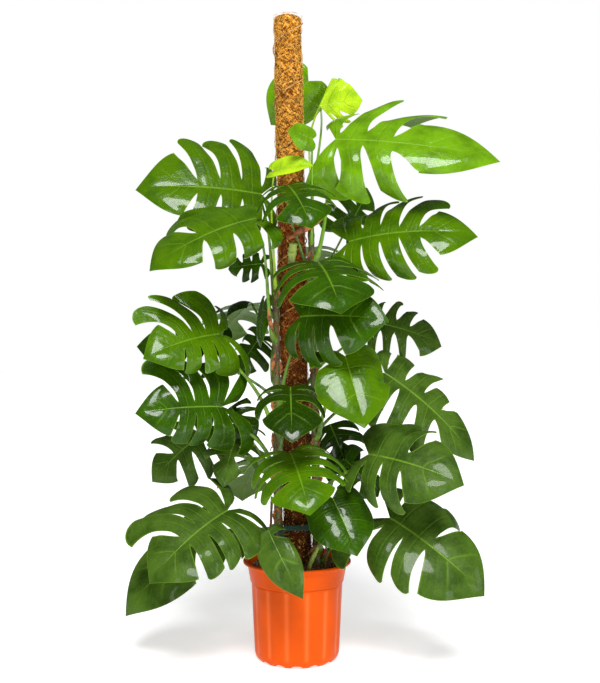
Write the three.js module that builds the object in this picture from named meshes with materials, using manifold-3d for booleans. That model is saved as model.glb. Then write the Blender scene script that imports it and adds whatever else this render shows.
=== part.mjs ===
// A potted Swiss cheese plant, Monstera deliciosa, trained up a coir pole in a plastic nursery pot.
// Millimetres, +Z up, the front faces -Y. The origin is the middle of the pot's flat underside.
import * as THREE from "three";
import { mergeVertices } from "three/addons/utils/BufferGeometryUtils.js";
import Module from "manifold-3d";

const wasm = await Module();
wasm.setup();

// Driving dimensions
const GAP = 0.4; // between neighbours that touch
const DEG = Math.PI / 180;
const POT = {
  height: 244, rim: 135, lip: 8, bandTop: 124, bandBottom: 117, bandHeight: 50,
  neck: 114, foot: 106, sole: 98, wall: 2.6, floor: 4, flutes: 14, fluteDepth: 1.4, sides: 42,
};
const DRAIN = { radius: 5, from: 86, to: 112 };
const SOIL = { level: 226, mound: 9, sides: 24 };
const POLE = {
  foot: [6, 0, 60], top: [-24, 0, 1602], radius: 34, coirFrom: 72, core: 22, cap: 12, sides: 16,
};
const TWINE = { radius: 1.2, lift: 2.8, from: 360, turns: 9, sides: 4, stepsPerTurn: 10 };
const TIE = { height: 324, width: 11, slack: 16, thickness: 1.6, segments: 4 }; // round pole and stems
const BLADE = 1.0; // thickness
const VEIN_END = 0.8; // where the last side vein leaves the midrib, as a share of the blade's length
const FAN = 0.16; // share of the margin whose veins all start at the blade's base
const VEIN_BEND = 0.13; // how far a side vein bows towards the tip
const OUTLINE = { centre: 0.38, round: 0.45, point: 0.17, taper: 0.3, earAt: 2.6, earWide: 0.45 };

// Small helpers
const vec = (p) => new THREE.Vector3(...p);
const clamp01 = (v) => Math.min(Math.max(v, 0), 1);

// A fixed draw between -1 and 1 for a seed and a place in its list.
function chance(seed, place) {
  const v = Math.sin(seed * 12.9898 + place * 78.233) * 43758.5453;
  return 2 * (v - Math.floor(v)) - 1;
}

// Closed geometry with its shared vertices merged and its collapsed triangles dropped.
function welded(positions, triangles) {
  const loose = new THREE.BufferGeometry();
  loose.setAttribute("position", new THREE.Float32BufferAttribute(positions, 3));
  loose.setIndex(triangles);
  const geometry = mergeVertices(loose, 1e-3);
  const index = geometry.index.array;
  const kept = [];
  for (let i = 0; i < index.length; i += 3) {
    const [a, b, c] = index.slice(i, i + 3);
    if (a !== b && b !== c && c !== a) kept.push(a, b, c);
  }
  geometry.setIndex(kept);
  return geometry;
}

function solidOf(geometry) {
  const bare = geometry.clone();
  bare.deleteAttribute("normal");
  bare.deleteAttribute("uv");
  const merged = mergeVertices(bare, 1e-3);
  return new wasm.Manifold(new wasm.Mesh({
    numProp: 3,
    vertProperties: merged.attributes.position.array,
    triVerts: new Uint32Array(merged.index.array),
  }));
}

function geometryOf(solid) {
  const { vertProperties, triVerts } = solid.getMesh();
  const geometry = new THREE.BufferGeometry();
  geometry.setAttribute("position", new THREE.BufferAttribute(new Float32Array(vertProperties), 3));
  geometry.setIndex(new THREE.BufferAttribute(new Uint32Array(triVerts), 1));
  geometry.computeVertexNormals();
  return geometry;
}

// A closed tube along a curve, with a radius for each share of its length.
function taperedTube(curve, radiusAt, sides, steps) {
  const frames = curve.computeFrenetFrames(steps, false);
  const positions = [];
  const triangles = [];
  for (let i = 0; i <= steps; i++) {
    const centre = curve.getPointAt(i / steps);
    for (let j = 0; j < sides; j++) {
      const turn = (2 * Math.PI * j) / sides;
      const spoke = frames.normals[i].clone().multiplyScalar(Math.cos(turn))
        .addScaledVector(frames.binormals[i], Math.sin(turn));
      positions.push(...centre.clone().addScaledVector(spoke, radiusAt(i / steps)).toArray());
      if (i === steps) continue;
      const [a, b] = [i * sides + j, i * sides + ((j + 1) % sides)];
      triangles.push(a, b, b + sides, a, b + sides, a + sides);
    }
  }
  for (let j = 1; j < sides - 1; j++) {
    triangles.push(0, j + 1, j);
    triangles.push(steps * sides, steps * sides + j, steps * sides + j + 1);
  }
  return welded(positions, triangles);
}

// The pot: a turned shell with a flared lip, a rim band, shallow flutes and drainage notches in its foot
function potGeometry() {
  const p = POT;
  const bandFoot = p.height - p.bandHeight;
  const inside = (radius) => radius - p.wall;
  const outer = [
    [0, 0], [p.sole - 8, 0], [p.sole, 2], [p.foot, 16], [p.neck, bandFoot - 4],
    [p.bandBottom, bandFoot], [p.bandTop, p.height - p.lip - 5], [p.rim - 1, p.height - p.lip],
    [p.rim, p.height - 3], [p.rim - 3, p.height],
  ];
  const inner = [
    [inside(p.bandTop) + 1, p.height - 4], [inside(p.bandBottom) - 2, bandFoot],
    [inside(p.foot), 18], [inside(p.sole) - 4, p.floor], [0, p.floor],
  ];
  const profile = [...outer, ...inner].map(([r, z]) => new THREE.Vector2(r, z));
  const lathe = new THREE.LatheGeometry(profile, p.sides);
  lathe.rotateX(Math.PI / 2);
  const place = lathe.attributes.position;
  for (let i = 0; i < place.count; i++) {
    const [x, y, z] = [place.getX(i), place.getY(i), place.getZ(i)];
    const radius = Math.hypot(x, y);
    const column = Math.round(((Math.atan2(y, x) + 2 * Math.PI) * p.sides) / (2 * Math.PI)) % 3;
    const fluted = z > 8 && z < bandFoot - 2 && radius > p.foot - 1 && column === 0;
    const scale = fluted ? (radius - p.fluteDepth) / radius : 1;
    place.setXYZ(i, x * scale, y * scale, z);
  }
  let shell = solidOf(lathe);
  if (shell.volume() < 0) throw new Error("the pot's profile runs the wrong way");
  for (let i = 0; i < p.flutes; i++) {
    const notch = new THREE.CylinderGeometry(DRAIN.radius, DRAIN.radius, DRAIN.to - DRAIN.from, 6);
    notch.rotateZ(Math.PI / 2);
    notch.translate((DRAIN.from + DRAIN.to) / 2, 0, 0.3);
    notch.rotateZ(((i + 0.5) * 2 * Math.PI) / p.flutes);
    shell = shell.subtract(solidOf(notch));
  }
  return geometryOf(shell);
}

// The soil: a block that fills the pot with a lumpy mounded top, and plain holes for what stands in it
function soilGeometry(standing) {
  const p = POT;
  const clear = p.wall + GAP;
  const bandFoot = p.height - p.bandHeight;
  const profile = [
    [0, p.floor + GAP], [p.sole - clear - 5, p.floor + GAP], [p.foot - clear - 0.5, 18 + GAP],
    [p.bandBottom - clear - 4, bandFoot], [p.bandBottom - clear - 2, SOIL.level],
    [86, SOIL.level + 3], [58, SOIL.level + 5], [30, SOIL.level + SOIL.mound], [0, SOIL.level + SOIL.mound],
  ].map(([r, z]) => new THREE.Vector2(r, z));
  const lathe = new THREE.LatheGeometry(profile, SOIL.sides);
  lathe.rotateX(Math.PI / 2);
  const place = lathe.attributes.position;
  for (let i = 0; i < place.count; i++) {
    const [x, y, z] = [place.getX(i), place.getY(i), place.getZ(i)];
    const radius = Math.hypot(x, y);
    if (z < SOIL.level + 1 || radius < 1) continue;
    place.setZ(i, z + 2.2 * Math.sin(x * 0.13 + 1) * Math.cos(y * 0.11) + 1.3 * Math.sin((x - y) * 0.21));
  }
  let block = solidOf(lathe);
  for (const hole of standing) block = block.subtract(solidOf(hole));
  return geometryOf(block);
}

// The coir pole: a round wooden stake, the coir sleeve with its closed top, and the thread wound round it
const poleLine = new THREE.LineCurve3(vec(POLE.foot), vec(POLE.top));
const poleAt = (z) => {
  const share = (z - POLE.foot[2]) / (POLE.top[2] - POLE.foot[2]);
  return vec(POLE.foot).lerp(vec(POLE.top), share);
};
const stretch = (from, to) => new THREE.LineCurve3(poleAt(from), poleAt(to));

function coirOutline(extra = 0) {
  const swell = (share) => POLE.radius + extra + 1.3 * Math.sin(share * 41) * Math.sin(share * 17 + 1);
  const rounded = (share) => (share === 1 ? POLE.radius - 3 : swell(share));
  return taperedTube(stretch(POLE.coirFrom - extra, POLE.top[2]), rounded, POLE.sides, 14);
}

function coirGeometry() {
  const bore = stretch(POLE.coirFrom - 10, POLE.top[2] - POLE.cap);
  const hollow = taperedTube(bore, () => POLE.core + GAP, POLE.sides, 1);
  return geometryOf(solidOf(coirOutline()).subtract(solidOf(hollow)));
}

function coreGeometry(extra = 0) {
  const top = POLE.top[2] - POLE.cap - GAP;
  return taperedTube(stretch(POLE.foot[2] - extra, top), () => POLE.core + extra, POLE.sides, 1);
}

class Helix extends THREE.Curve {
  getPoint(t, target = new THREE.Vector3()) {
    const z = TWINE.from + t * (POLE.top[2] - TWINE.from - 18);
    const turn = 2 * Math.PI * TWINE.turns * t;
    const reach = POLE.radius + TWINE.lift + TWINE.radius + GAP;
    return target.copy(poleAt(z)).add(new THREE.Vector3(reach * Math.cos(turn), reach * Math.sin(turn), 0));
  }
}

function twineGeometry() {
  return taperedTube(new Helix(), () => TWINE.radius, TWINE.sides, TWINE.turns * TWINE.stepsPerTurn);
}

// The climbing stems, one beside each third of the pole
const STEMS = {
  left: { spots: [[-42, -42, 150], [-47, -40, 420], [-50, -36, 700], [-52, -32, 960]], radius: [13, 8] },
  right: { spots: [[52, -22, 150], [47, -26, 420], [42, -30, 760], [34, -28, 1090]], radius: [13, 8] },
  back: { spots: [[8, 54, 150], [2, 52, 420], [-4, 52, 700], [-8, 50, 1000]], radius: [12, 8] },
};
const NODE_STEP = 90; // between two joints of a stem

const stemCurve = (stem) => new THREE.CatmullRomCurve3(stem.spots.map(vec));
const stemRadius = (stem, share) => THREE.MathUtils.lerp(stem.radius[0], stem.radius[1], share);

function stemGeometry(stem, extra = 0) {
  const [lowest, ...others] = stem.spots;
  const curve = stemCurve({ spots: [lowest.with(2, lowest[2] - extra), ...others] });
  const steps = 2 * Math.round(curve.getLength() / NODE_STEP);
  const ringed = (share) => {
    const joint = Math.round(share * steps) % 2 === 0;
    return stemRadius(stem, share) * (joint ? 1 : 0.86) + extra;
  };
  return taperedTube(curve, ringed, 6, steps);
}

// The spot on a stem at a height, and the stem's radius there.
function stemSpot(stem, z) {
  const curve = stemCurve(stem);
  const [low, high] = [stem.spots[0][2], stem.spots.at(-1)[2]];
  const share = clamp01((z - low) / (high - low));
  return { centre: curve.getPointAt(share), radius: stemRadius(stem, share) };
}

// The tie: a band drawn round the three stems and the pole between them
function tieGeometry() {
  const corners = ["right", "back", "left"].map((side) => stemSpot(STEMS[side], TIE.height).centre);
  const loop = (Path, reach) => {
    const path = new Path();
    corners.forEach((corner, i) => {
      const [before, after] = [corners[(i + 2) % 3], corners[(i + 1) % 3]];
      const from = Math.atan2(corner.y - before.y, corner.x - before.x) - Math.PI / 2;
      const to = Math.atan2(after.y - corner.y, after.x - corner.x) - Math.PI / 2;
      path.absarc(corner.x, corner.y, reach, from, to, false);
    });
    path.closePath();
    return path;
  };
  const outline = loop(THREE.Shape, TIE.slack + TIE.thickness);
  outline.holes.push(loop(THREE.Path, TIE.slack));
  const shape = { depth: TIE.width, bevelEnabled: false, curveSegments: TIE.segments };
  const band = new THREE.ExtrudeGeometry(outline, shape);
  return band.translate(0, 0, TIE.height);
}

// Roots that the stems send down through the air into the soil, and stubs left where stalks were cut
const ROOTS = [
  { spots: [[-61, -62, 410], [-64, -76, 320], [-69, -84, 196]], radius: [3.4, 2.6] },
  { spots: [[62, -40, 392], [72, -52, 310], [66, -62, 196]], radius: [3.2, 2.4] },
];
const STUBS = [
  { spots: [[18, -62, 196], [34, -68, 250], [58, -74, 300]], radius: [6, 5] },
  { spots: [[-14, -56, 972], [-12, -62, 1000], [-8, -72, 1028]], radius: [9, 12] },
];

function spur(piece, extra = 0) {
  const deepened = ([x, y, z]) => vec([x, y, z < SOIL.level ? z - extra : z]);
  const curve = new THREE.CatmullRomCurve3(piece.spots.map(deepened));
  const [from, to] = piece.radius;
  return taperedTube(curve, (share) => THREE.MathUtils.lerp(from, to, share) + extra, 5, 4);
}

// Papery sheaths that once wrapped young leaves: cupped strips, pointed at both ends
const SHEATHS = [
  { spots: [[-70, -78, 866], [-66, -80, 838], [-56, -76, 806]], width: 11, facing: [-0.5, -1, 0] },
  { spots: [[-52, -52, 758], [-58, -54, 738], [-62, -52, 712]], width: 11, facing: [-0.3, -1, 0] },
  { spots: [[22, -52, 262], [46, -60, 286], [72, -58, 296]], width: 13, facing: [0, -0.6, 1] },
  { spots: [[-24, -78, 1034], [18, -84, 1060], [66, -76, 1086]], width: 20, facing: [0, -1, 0.4] },
];

function sheathGeometry(sheath) {
  const curve = new THREE.CatmullRomCurve3(sheath.spots.map(vec));
  const facing = vec(sheath.facing).normalize();
  const positions = [];
  const triangles = [];
  const [rows, columns] = [4, 2];
  for (let k = 0; k <= rows; k++) {
    const share = k / rows;
    const centre = curve.getPointAt(share);
    const aside = curve.getTangentAt(share).cross(facing).normalize();
    const half = (sheath.width / 2) * Math.max(Math.sin(Math.PI * share), 0.12);
    for (let j = 0; j <= columns; j++) {
      const across = (2 * j) / columns - 1;
      const spot = centre.clone().addScaledVector(aside, half * across)
        .addScaledVector(facing, half * 0.6 * (1 - across ** 2));
      positions.push(...spot.toArray());
      if (k === rows || j === columns) continue;
      const a = k * (columns + 1) + j;
      triangles.push(a, a + 1, a + columns + 2, a, a + columns + 2, a + columns + 1);
    }
  }
  return thickened(welded(positions, triangles), BLADE);
}

// Which vein a number q is, from 0 at the sinus to 1 at the tip; the end lobe has a share of its own.
function veinShare(q, leaf) {
  const end = leaf.lobes === 1 ? 1 : leaf.end;
  const side = (q * (1 - end)) / Math.max(leaf.lobes - 1, 1);
  return clamp01(q < leaf.lobes - 1 ? side : 1 - end + (q - leaf.lobes + 1) * end);
}

// The blade in its own flat plane: a vein number q from the sinus to the tip and a share b along that vein.
// The margin is a heart round a centre on the midrib, with a point at its tip and ears by the sinus.
function flatPlace(q, b, leaf) {
  const p = veinShare(q, leaf);
  const angle = leaf.back * DEG * (1 - p) ** leaf.sweep;
  const radius = OUTLINE.round + OUTLINE.point * Math.exp(-angle / OUTLINE.taper)
    + leaf.ear * Math.exp(-(((angle - OUTLINE.earAt) / OUTLINE.earWide) ** 2));
  const start = VEIN_END * clamp01((p - FAN) / (1 - FAN)) ** 1.08;
  const ahead = OUTLINE.centre + radius * Math.cos(angle) - start;
  const out = radius * Math.sin(angle);
  const bulge = VEIN_BEND * Math.sin(Math.PI * p) * 2 * b * (1 - b);
  return [start + ahead * b - out * bulge, Math.max(out * b + ahead * bulge, 0) * leaf.width];
}

// The frame that a blade bends in: its midrib is an arc from base to tip, arched towards its face
function bladeFrame(leaf) {
  const [base, tip] = [vec(leaf.base), vec(leaf.tip)];
  const chord = tip.clone().sub(base);
  const reach = chord.length();
  chord.divideScalar(reach);
  const [turn, lift] = leaf.face.map((v) => v * DEG);
  const face = new THREE.Vector3(
    Math.sin(turn) * Math.cos(lift), -Math.cos(turn) * Math.cos(lift), Math.sin(lift));
  const normal = face.addScaledVector(chord, -face.dot(chord)).normalize();
  const arc = leaf.droop * DEG;
  const radius = reach / (2 * Math.sin(arc / 2));
  return { base, chord, normal, reach, arc, radius, length: radius * arc };
}

// A flat place on one side of the midrib, bent into space, with the face's own direction there.
function bentPlace(frame, leaf, along, aside, side) {
  const { base, chord, normal, reach, arc, radius, length } = frame;
  const swing = arc * (along - 0.5);
  const spot = base.clone().addScaledVector(chord, reach / 2 + radius * Math.sin(swing))
    .addScaledVector(normal, radius * (Math.cos(swing) - Math.cos(arc / 2)));
  const up = normal.clone().multiplyScalar(Math.cos(swing)).addScaledVector(chord, Math.sin(swing));
  const out = new THREE.Vector3().crossVectors(normal, chord).multiplyScalar(side);
  const fold = leaf.fold * DEG;
  const curl = Math.max((leaf.curl[side > 0 ? 0 : 1] * DEG) / 0.5, 1e-3);
  const tilt = fold - curl * aside;
  spot.addScaledVector(out, (length * (Math.sin(fold) - Math.sin(tilt))) / curl);
  spot.addScaledVector(up, (length * (Math.cos(tilt) - Math.cos(fold))) / curl);
  const local = up.clone().multiplyScalar(Math.cos(tilt)).addScaledVector(out, -Math.sin(tilt));
  return { spot, local, up };
}

// Where an edge between two lobes has a slit: not at the sinus, not at the tip and not where it is shut
function isOpen(leaf, sideIndex, edge) {
  return edge > 0 && edge < leaf.lobes && !leaf.shut[sideIndex].includes(edge);
}

// How far the slit before lobe number "edge" has opened at a share b of the vein, in lobes
function slitOpening(leaf, sideIndex, edge, b) {
  if (!isOpen(leaf, sideIndex, edge)) return 0;
  const t = clamp01((b - leaf.cut) / (1 - leaf.cut));
  const wide = leaf.gap * (1 + 0.35 * chance(leaf.seed, 80 + edge + 20 * sideIndex));
  return wide * Math.sqrt(t * (2 - t));
}

// One place on lobe i, at a share b out from the midrib and -1..1 across the lobe
function lobePlace(frame, leaf, side, i, across, b) {
  const sideIndex = side > 0 ? 0 : 1;
  const draw = (k) => chance(leaf.seed, k + i + 20 * sideIndex);
  const last = i === leaf.lobes - 1;
  const whole = leaf.lobes === 1;
  const from = i + slitOpening(leaf, sideIndex, i, b);
  const to = i + 1 - slitOpening(leaf, sideIndex, i + 1, b);
  const root = 0.45;
  const outward = clamp01((b - root) / (1 - root));
  let reach = leaf.reach[sideIndex][i] ?? 1 + 0.06 * draw(100);
  if (last) reach = 1 + (reach - 1) * ((1 - across) / 2);
  const hook = isOpen(leaf, sideIndex, i) ? leaf.hook * ((1 - across) / 2) ** 2.2 : 0;
  const rounding = isOpen(leaf, sideIndex, i + 1) ? 0.1 * clamp01(across) ** 6 : 0;
  const margin = reach * (1 - hook - rounding);
  const share = b <= root ? b : root + (b - root) * (1 + (margin - 1) * Math.sqrt(outward));
  const lean = i > 0 ? leaf.lean[sideIndex] : 0;
  const sway = last || whole ? 0 : 0.5 * leaf.sway * draw(120) + lean;
  const q = from + ((to - from) * (across + 1)) / 2 + sway * outward ** 1.5;
  const [along, aside] = flatPlace(q, share, leaf);
  const { spot, local, up } = bentPlace(frame, leaf, along, aside, side);
  const half = (0.4 / leaf.lobes) * frame.length;
  const inner = last ? (across - 1) / 2 : across;
  const sag = leaf.sag * (last ? 0.4 : 1 + 1.2 * draw(140)) * frame.length * outward ** 1.5;
  const twist = last ? 0 : 0.5 * draw(160) * half * across * outward;
  const pleat = 0.25 * (1 - outward) * clamp01(2 * b) * (1 - Math.cos(Math.PI * inner));
  const arch = whole ? 0 : leaf.arch * half * (outward * inner ** 2 + pleat);
  return spot.addScaledVector(last ? up : local, twist - sag - arch);
}

// The blade's middle surface as one sheet, with lobes that part beyond the cut
function bladeSheet(leaf, frame) {
  const positions = [];
  const triangles = [];
  const rows = [0, leaf.cut, ...leaf.rows, 1];
  const columns = leaf.lobes === 1 ? 8 : 2;
  for (const side of [1, -1]) {
    for (let i = 0; i < leaf.lobes; i++) {
      const first = positions.length / 3;
      for (const b of rows)
        for (let j = 0; j <= columns; j++) {
          const shared = j === 0 && i > 0 && slitOpening(leaf, side > 0 ? 0 : 1, i, b) === 0;
          const spot = shared
            ? lobePlace(frame, leaf, side, i - 1, 1, b)
            : lobePlace(frame, leaf, side, i, (2 * j) / columns - 1, b);
          positions.push(...spot.toArray());
        }
      for (let k = 0; k < rows.length - 1; k++)
        for (let j = 0; j < columns; j++) {
          const a = first + k * (columns + 1) + j;
          const [b, c, d] = [a + 1, a + columns + 2, a + columns + 1];
          const quad = j < columns / 2 ? [a, b, d, b, c, d] : [a, b, c, a, c, d];
          triangles.push(...(side > 0 ? quad.reverse() : quad));
        }
    }
  }
  return welded(positions, triangles);
}

// The sheet thickened to both sides along its normals and closed round its edge
function thickened(sheet, thickness) {
  sheet.computeVertexNormals();
  const place = sheet.attributes.position;
  const normal = sheet.attributes.normal;
  const index = [...sheet.index.array];
  const positions = [];
  for (const half of [thickness / 2, -thickness / 2])
    for (let i = 0; i < place.count; i++)
      positions.push(place.getX(i) + half * normal.getX(i), place.getY(i) + half * normal.getY(i),
        place.getZ(i) + half * normal.getZ(i));
  const n = place.count;
  const triangles = [...index];
  const used = new Set();
  for (let i = 0; i < index.length; i += 3) {
    const [a, b, c] = index.slice(i, i + 3);
    triangles.push(a + n, c + n, b + n);
    for (const [u, v] of [[a, b], [b, c], [c, a]]) used.add(u * n + v);
  }
  for (const edge of used) {
    const [u, v] = [Math.floor(edge / n), edge % n];
    if (!used.has(v * n + u)) triangles.push(v, u, u + n, v, u + n, v + n);
  }
  const solid = new THREE.BufferGeometry();
  solid.setAttribute("position", new THREE.Float32BufferAttribute(positions, 3));
  solid.setIndex(triangles);
  return solid;
}

// A leaf: the blade with its stalk fused in, rising from its stem and meeting the blade at the sinus
function leafGeometry(leaf) {
  const frame = bladeFrame(leaf);
  const stem = stemSpot(STEMS[leaf.stem], leaf.root);
  const heading = frame.base.clone().sub(stem.centre).setZ(0).normalize();
  const start = stem.centre.clone().addScaledVector(heading, stem.radius + leaf.stalk[0] + 1);
  const span = start.distanceTo(frame.base);
  const arrive = frame.normal.clone().multiplyScalar(0.6).addScaledVector(frame.chord, 0.35)
    .add(new THREE.Vector3(0, 0, 0.6)).normalize();
  const curve = new THREE.CubicBezierCurve3(
    start,
    start.clone().addScaledVector(heading, 0.12 * span).add(new THREE.Vector3(0, 0, 0.42 * span)),
    frame.base.clone().addScaledVector(arrive, -0.35 * span),
    bentPlace(frame, leaf, 0.02, 0, 1).spot);
  const radius = (share) => THREE.MathUtils.lerp(leaf.stalk[0], leaf.stalk[1], Math.min(share * 1.6, 1));
  const stalk = taperedTube(curve, radius, 4, 5);
  const blade = thickened(bladeSheet(leaf, frame), BLADE);
  return geometryOf(solidOf(blade).add(solidOf(stalk)));
}

const ORDINARY = {
  width: 1, droop: 35, fold: 10, curl: [45, 45], lobes: 5, end: 0.3, cut: 0.18, gap: 0.2,
  shut: [[], []], back: 165, sweep: 1, ear: 0.16, reach: [[], []], lean: [0, 0], sag: 0.05, sway: 0.25,
  arch: 0.16, hook: 0.34, stalk: [6, 3.4], rows: [0.52],
};

// Each leaf: the blade's base and tip, the way its upper face looks (degrees to the right of the
// front, degrees up), the stem and height that its stalk leaves, and what sets it apart.
const LEAVES = [
  { base: [-93, 87, 1169], tip: [-412, 35, 1176], face: [-10, 32], stem: "left", root: 880,
    width: 1.2, droop: 24, curl: [50, 14], gap: 0.13, hook: 0.2,
    reach: [[0.6, 0.6, 0.6, 0.7, 0.5], [1.1, 1.15, 1.15, 1.15, 1.1]], lean: [0, 0.1] },
  { base: [-98, -102, 1082], tip: [-340, -202, 952], face: [-15, 46], stem: "left", root: 800,
    width: 1.2, droop: 30, curl: [90, 35], lobes: 4, end: 0.3, gap: 0.16, shut: [[], [1, 2]],
    reach: [[0.5, 0.4, 0.5, 0.3], [1, 1.05, 1.25, 0.9]] },
  { base: [-56, -66, 1204], tip: [40, -95, 1210], face: [0, 40], stem: "left", root: 930,
    width: 0.75, droop: 30, fold: 20, curl: [20, 30], lobes: 1, stalk: [4, 2.5] },
  { base: [-22, -100, 1162], tip: [35, -197, 1048], face: [0, 50], stem: "right", root: 940,
    width: 1.6, droop: 40, curl: [40, 40], lobes: 4, end: 0.36, ear: 0.05, stalk: [4.5, 3] },
  { base: [58, 95, 1400], tip: [172, 110, 1420], face: [15, 6], stem: "right", root: 1085,
    width: 1.4, droop: 16, curl: [10, 40], lobes: 3, end: 0.5, cut: 0.3, gap: 0.14, back: 86, ear: 0,
    shut: [[1, 2], []], reach: [[0.8, 0.95, 1], [0.9, 0.9, 0.9]], stalk: [4.5, 2.8] },
  { base: [30, 150, 1480], tip: [-72, 190, 1372], face: [10, 5], stem: "right", root: 1060,
    width: 1.15, droop: 20, lobes: 1, stalk: [4.5, 2.8] },
  { base: [95, -40, 1285], tip: [488, -110, 1222], face: [5, 36], stem: "right", root: 1000,
    width: 0.8, droop: 16, fold: 6, curl: [20, 75], lobes: 4, end: 0.46, gap: 0.18, back: 150,
    reach: [[1.1, 1.3, 1.6, 0.6], [1.6, 1.6, 1.3, 0.35]], lean: [0.25, -0.3] },
  { base: [38, -85, 1276], tip: [-22, -120, 1288], face: [0, 12], stem: "right", root: 1040,
    width: 1.1, droop: 20, lobes: 1, stalk: [4, 2.5] },
  { base: [130, -20, 1035], tip: [440, -80, 1044], face: [10, 36], stem: "right", root: 800,
    width: 1, droop: 36, curl: [30, 60], lobes: 6, end: 0.26, gap: 0.13,
    reach: [[0.9, 1.1, 1.3, 1.5, 1.7, 0.8], [0.85, 0.85, 0.85, 0.95, 1.1, 0.8]], hook: 0.3 },
  { base: [125, 125, 1075], tip: [192, 200, 1205], face: [20, -10], stem: "right", root: 860,
    width: 1.3, droop: 30, curl: [40, 40], lobes: 4, stalk: [4.5, 3] },
  { base: [50, -130, 975], tip: [100, -270, 850], face: [5, 50], stem: "right", root: 740,
    width: 1.7, droop: 40, curl: [40, 40], lobes: 4, end: 0.4, gap: 0.14 },
  { base: [8, -136, 846], tip: [210, -214, 836], face: [0, 26], stem: "left", root: 640,
    width: 1.3, droop: 24, curl: [20, 60], lobes: 4, end: 0.42, gap: 0.12,
    reach: [[0.5, 0.5, 0.5, 0.4], [1.1, 1.2, 1.2, 1]] },
  { base: [114, -138, 752], tip: [155, -220, 590], face: [8, 25], stem: "right", root: 560,
    width: 1.1, droop: 14, curl: [30, 30], lobes: 3, end: 0.5, cut: 0.35, gap: 0.16, ear: 0.22,
    shut: [[1, 2], [2]] },
  { base: [-190, -70, 805], tip: [-358, -170, 748], face: [-10, 24], stem: "left", root: 590,
    width: 1.15, droop: 36, curl: [60, 10], back: 172, ear: 0.45, gap: 0.09, hook: 0.25,
    reach: [[1.2, 0.95, 0.8, 0.8, 0.8], [0.9, 1.5, 1.9, 2.1, 0.9]], lean: [0, 0.32] },
  { base: [-205, 70, 765], tip: [-415, 70, 775], face: [-10, 20], stem: "back", root: 570,
    width: 1.0, droop: 30, curl: [55, 35], rows: [] },
  { base: [-180, -90, 630], tip: [-378, -162, 620], face: [-5, 22], stem: "left", root: 490,
    width: 1.05, droop: 30, curl: [55, 15], back: 172, ear: 0.45, gap: 0.09, hook: 0.15,
    reach: [[1.3, 1, 0.95, 0.95, 0.8], [0.9, 1.2, 1.8, 2.2, 0.8]], lean: [0, 0.32] },
  { base: [-218, 70, 570], tip: [-376, 70, 425], face: [-15, 25], stem: "back", root: 412,
    width: 1.1, droop: 30, curl: [50, 40], lobes: 5, end: 0.25, gap: 0.2,
    reach: [[1, 1, 1.1, 1.2, 1], [1, 1, 1.1, 1.2, 1]] },
  { base: [-146, 20, 565], tip: [-181, -57, 430], face: [-10, 30], stem: "back", root: 380,
    width: 1.25, droop: 40, curl: [50, 40], gap: 0.26,
    reach: [[1.1, 1.2, 1.1, 1, 0.6], [0.8, 0.8, 0.8, 0.8, 0.6]] },
  { base: [-165, -120, 385], tip: [-335, -230, 240], face: [-20, 34], stem: "left", root: 285,
    width: 1.12, droop: 40, curl: [45, 25], back: 172, ear: 0.3, gap: 0.09, hook: 0.2,
    reach: [[0.95, 1.1, 1.05, 1, 1.1], [1, 1.25, 1.6, 2.1, 0.9]], lean: [0, 0.34] },
  { base: [-200, 30, 312], tip: [-428, -30, 108], face: [-15, 46], stem: "back", root: 275,
    width: 0.8, droop: 44, curl: [45, 40], lobes: 3, end: 0.6, reach: [[0.9, 0.9, 0.8], [0.9, 0.9, 0.9]] },
  { base: [-15, -150, 680], tip: [-10, -290, 565], face: [0, 46], stem: "left", root: 500,
    width: 1.2, droop: 35, curl: [50, 50], lobes: 3, end: 0.45 },
  { base: [-15, -150, 525], tip: [30, -290, 405], face: [0, 46], stem: "right", root: 360,
    width: 1.5, droop: 40, curl: [40, 50], ear: 0.3, gap: 0.14,
    reach: [[1.3, 1.3, 1.2, 1, 1], [1, 1, 1, 1, 1]] },
  { base: [85, -120, 415], tip: [140, -190, 292], face: [10, 25], stem: "right", root: 275,
    width: 1.2, droop: 20, lobes: 1 },
  { base: [120, 0, 492], tip: [205, 0, 398], face: [20, 20], stem: "right", root: 352,
    width: 1.4, droop: 20, lobes: 3, stalk: [4.5, 3] },
  { base: [170, -130, 520], tip: [380, -230, 463], face: [5, 30], stem: "right", root: 400,
    width: 1.15, droop: 35, curl: [35, 45], lobes: 4, end: 0.42, gap: 0.13, shut: [[1, 2], []],
    reach: [[1.25, 1.2, 1.15, 0.9], [1, 1.1, 1.15, 0.9]] },
  { base: [225, -80, 360], tip: [437, -180, 198], face: [10, 32], stem: "right", root: 250,
    width: 1.15, droop: 35, curl: [40, 45], lobes: 4, end: 0.4, ear: 0.3, gap: 0.12, shut: [[2], []],
    reach: [[1, 1, 0.95, 0.6], [1.2, 1, 0.85, 1.05]] },
  { base: [220, 0, 708], tip: [452, 20, 486], face: [25, 30], stem: "back", root: 480,
    width: 0.95, droop: 35, hook: 0.2, curl: [60, 60], gap: 0.2,
    reach: [[0.8, 0.65, 0.6, 0.5, 0.3], [1.1, 1.2, 1.2, 1.1, 0.4]] },
  { base: [190, 125, 838], tip: [385, 140, 775], face: [15, 35], stem: "back", root: 640,
    width: 1.2, droop: 35, curl: [40, 60], gap: 0.24 },
  { base: [-90, 100, 990], tip: [-185, 150, 980], face: [-15, 10], stem: "back", root: 840,
    droop: 35, curl: [40, 60], lobes: 4, stalk: [4.5, 3], rows: [] },
  { base: [-95, 95, 800], tip: [-155, 100, 700], face: [-10, 25], stem: "back", root: 690,
    width: 1.4, droop: 35, curl: [40, 60], lobes: 4, stalk: [4.5, 3], rows: [] },
  { base: [-82, 0, 885], tip: [-92, -10, 770], face: [-65, 10], stem: "left", root: 690,
    width: 0.75, droop: 20, lobes: 1, stalk: [4.5, 3] },
  { base: [-66, -190, 352], tip: [14, -252, 209], face: [-5, 12], stem: "left", root: 245,
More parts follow.
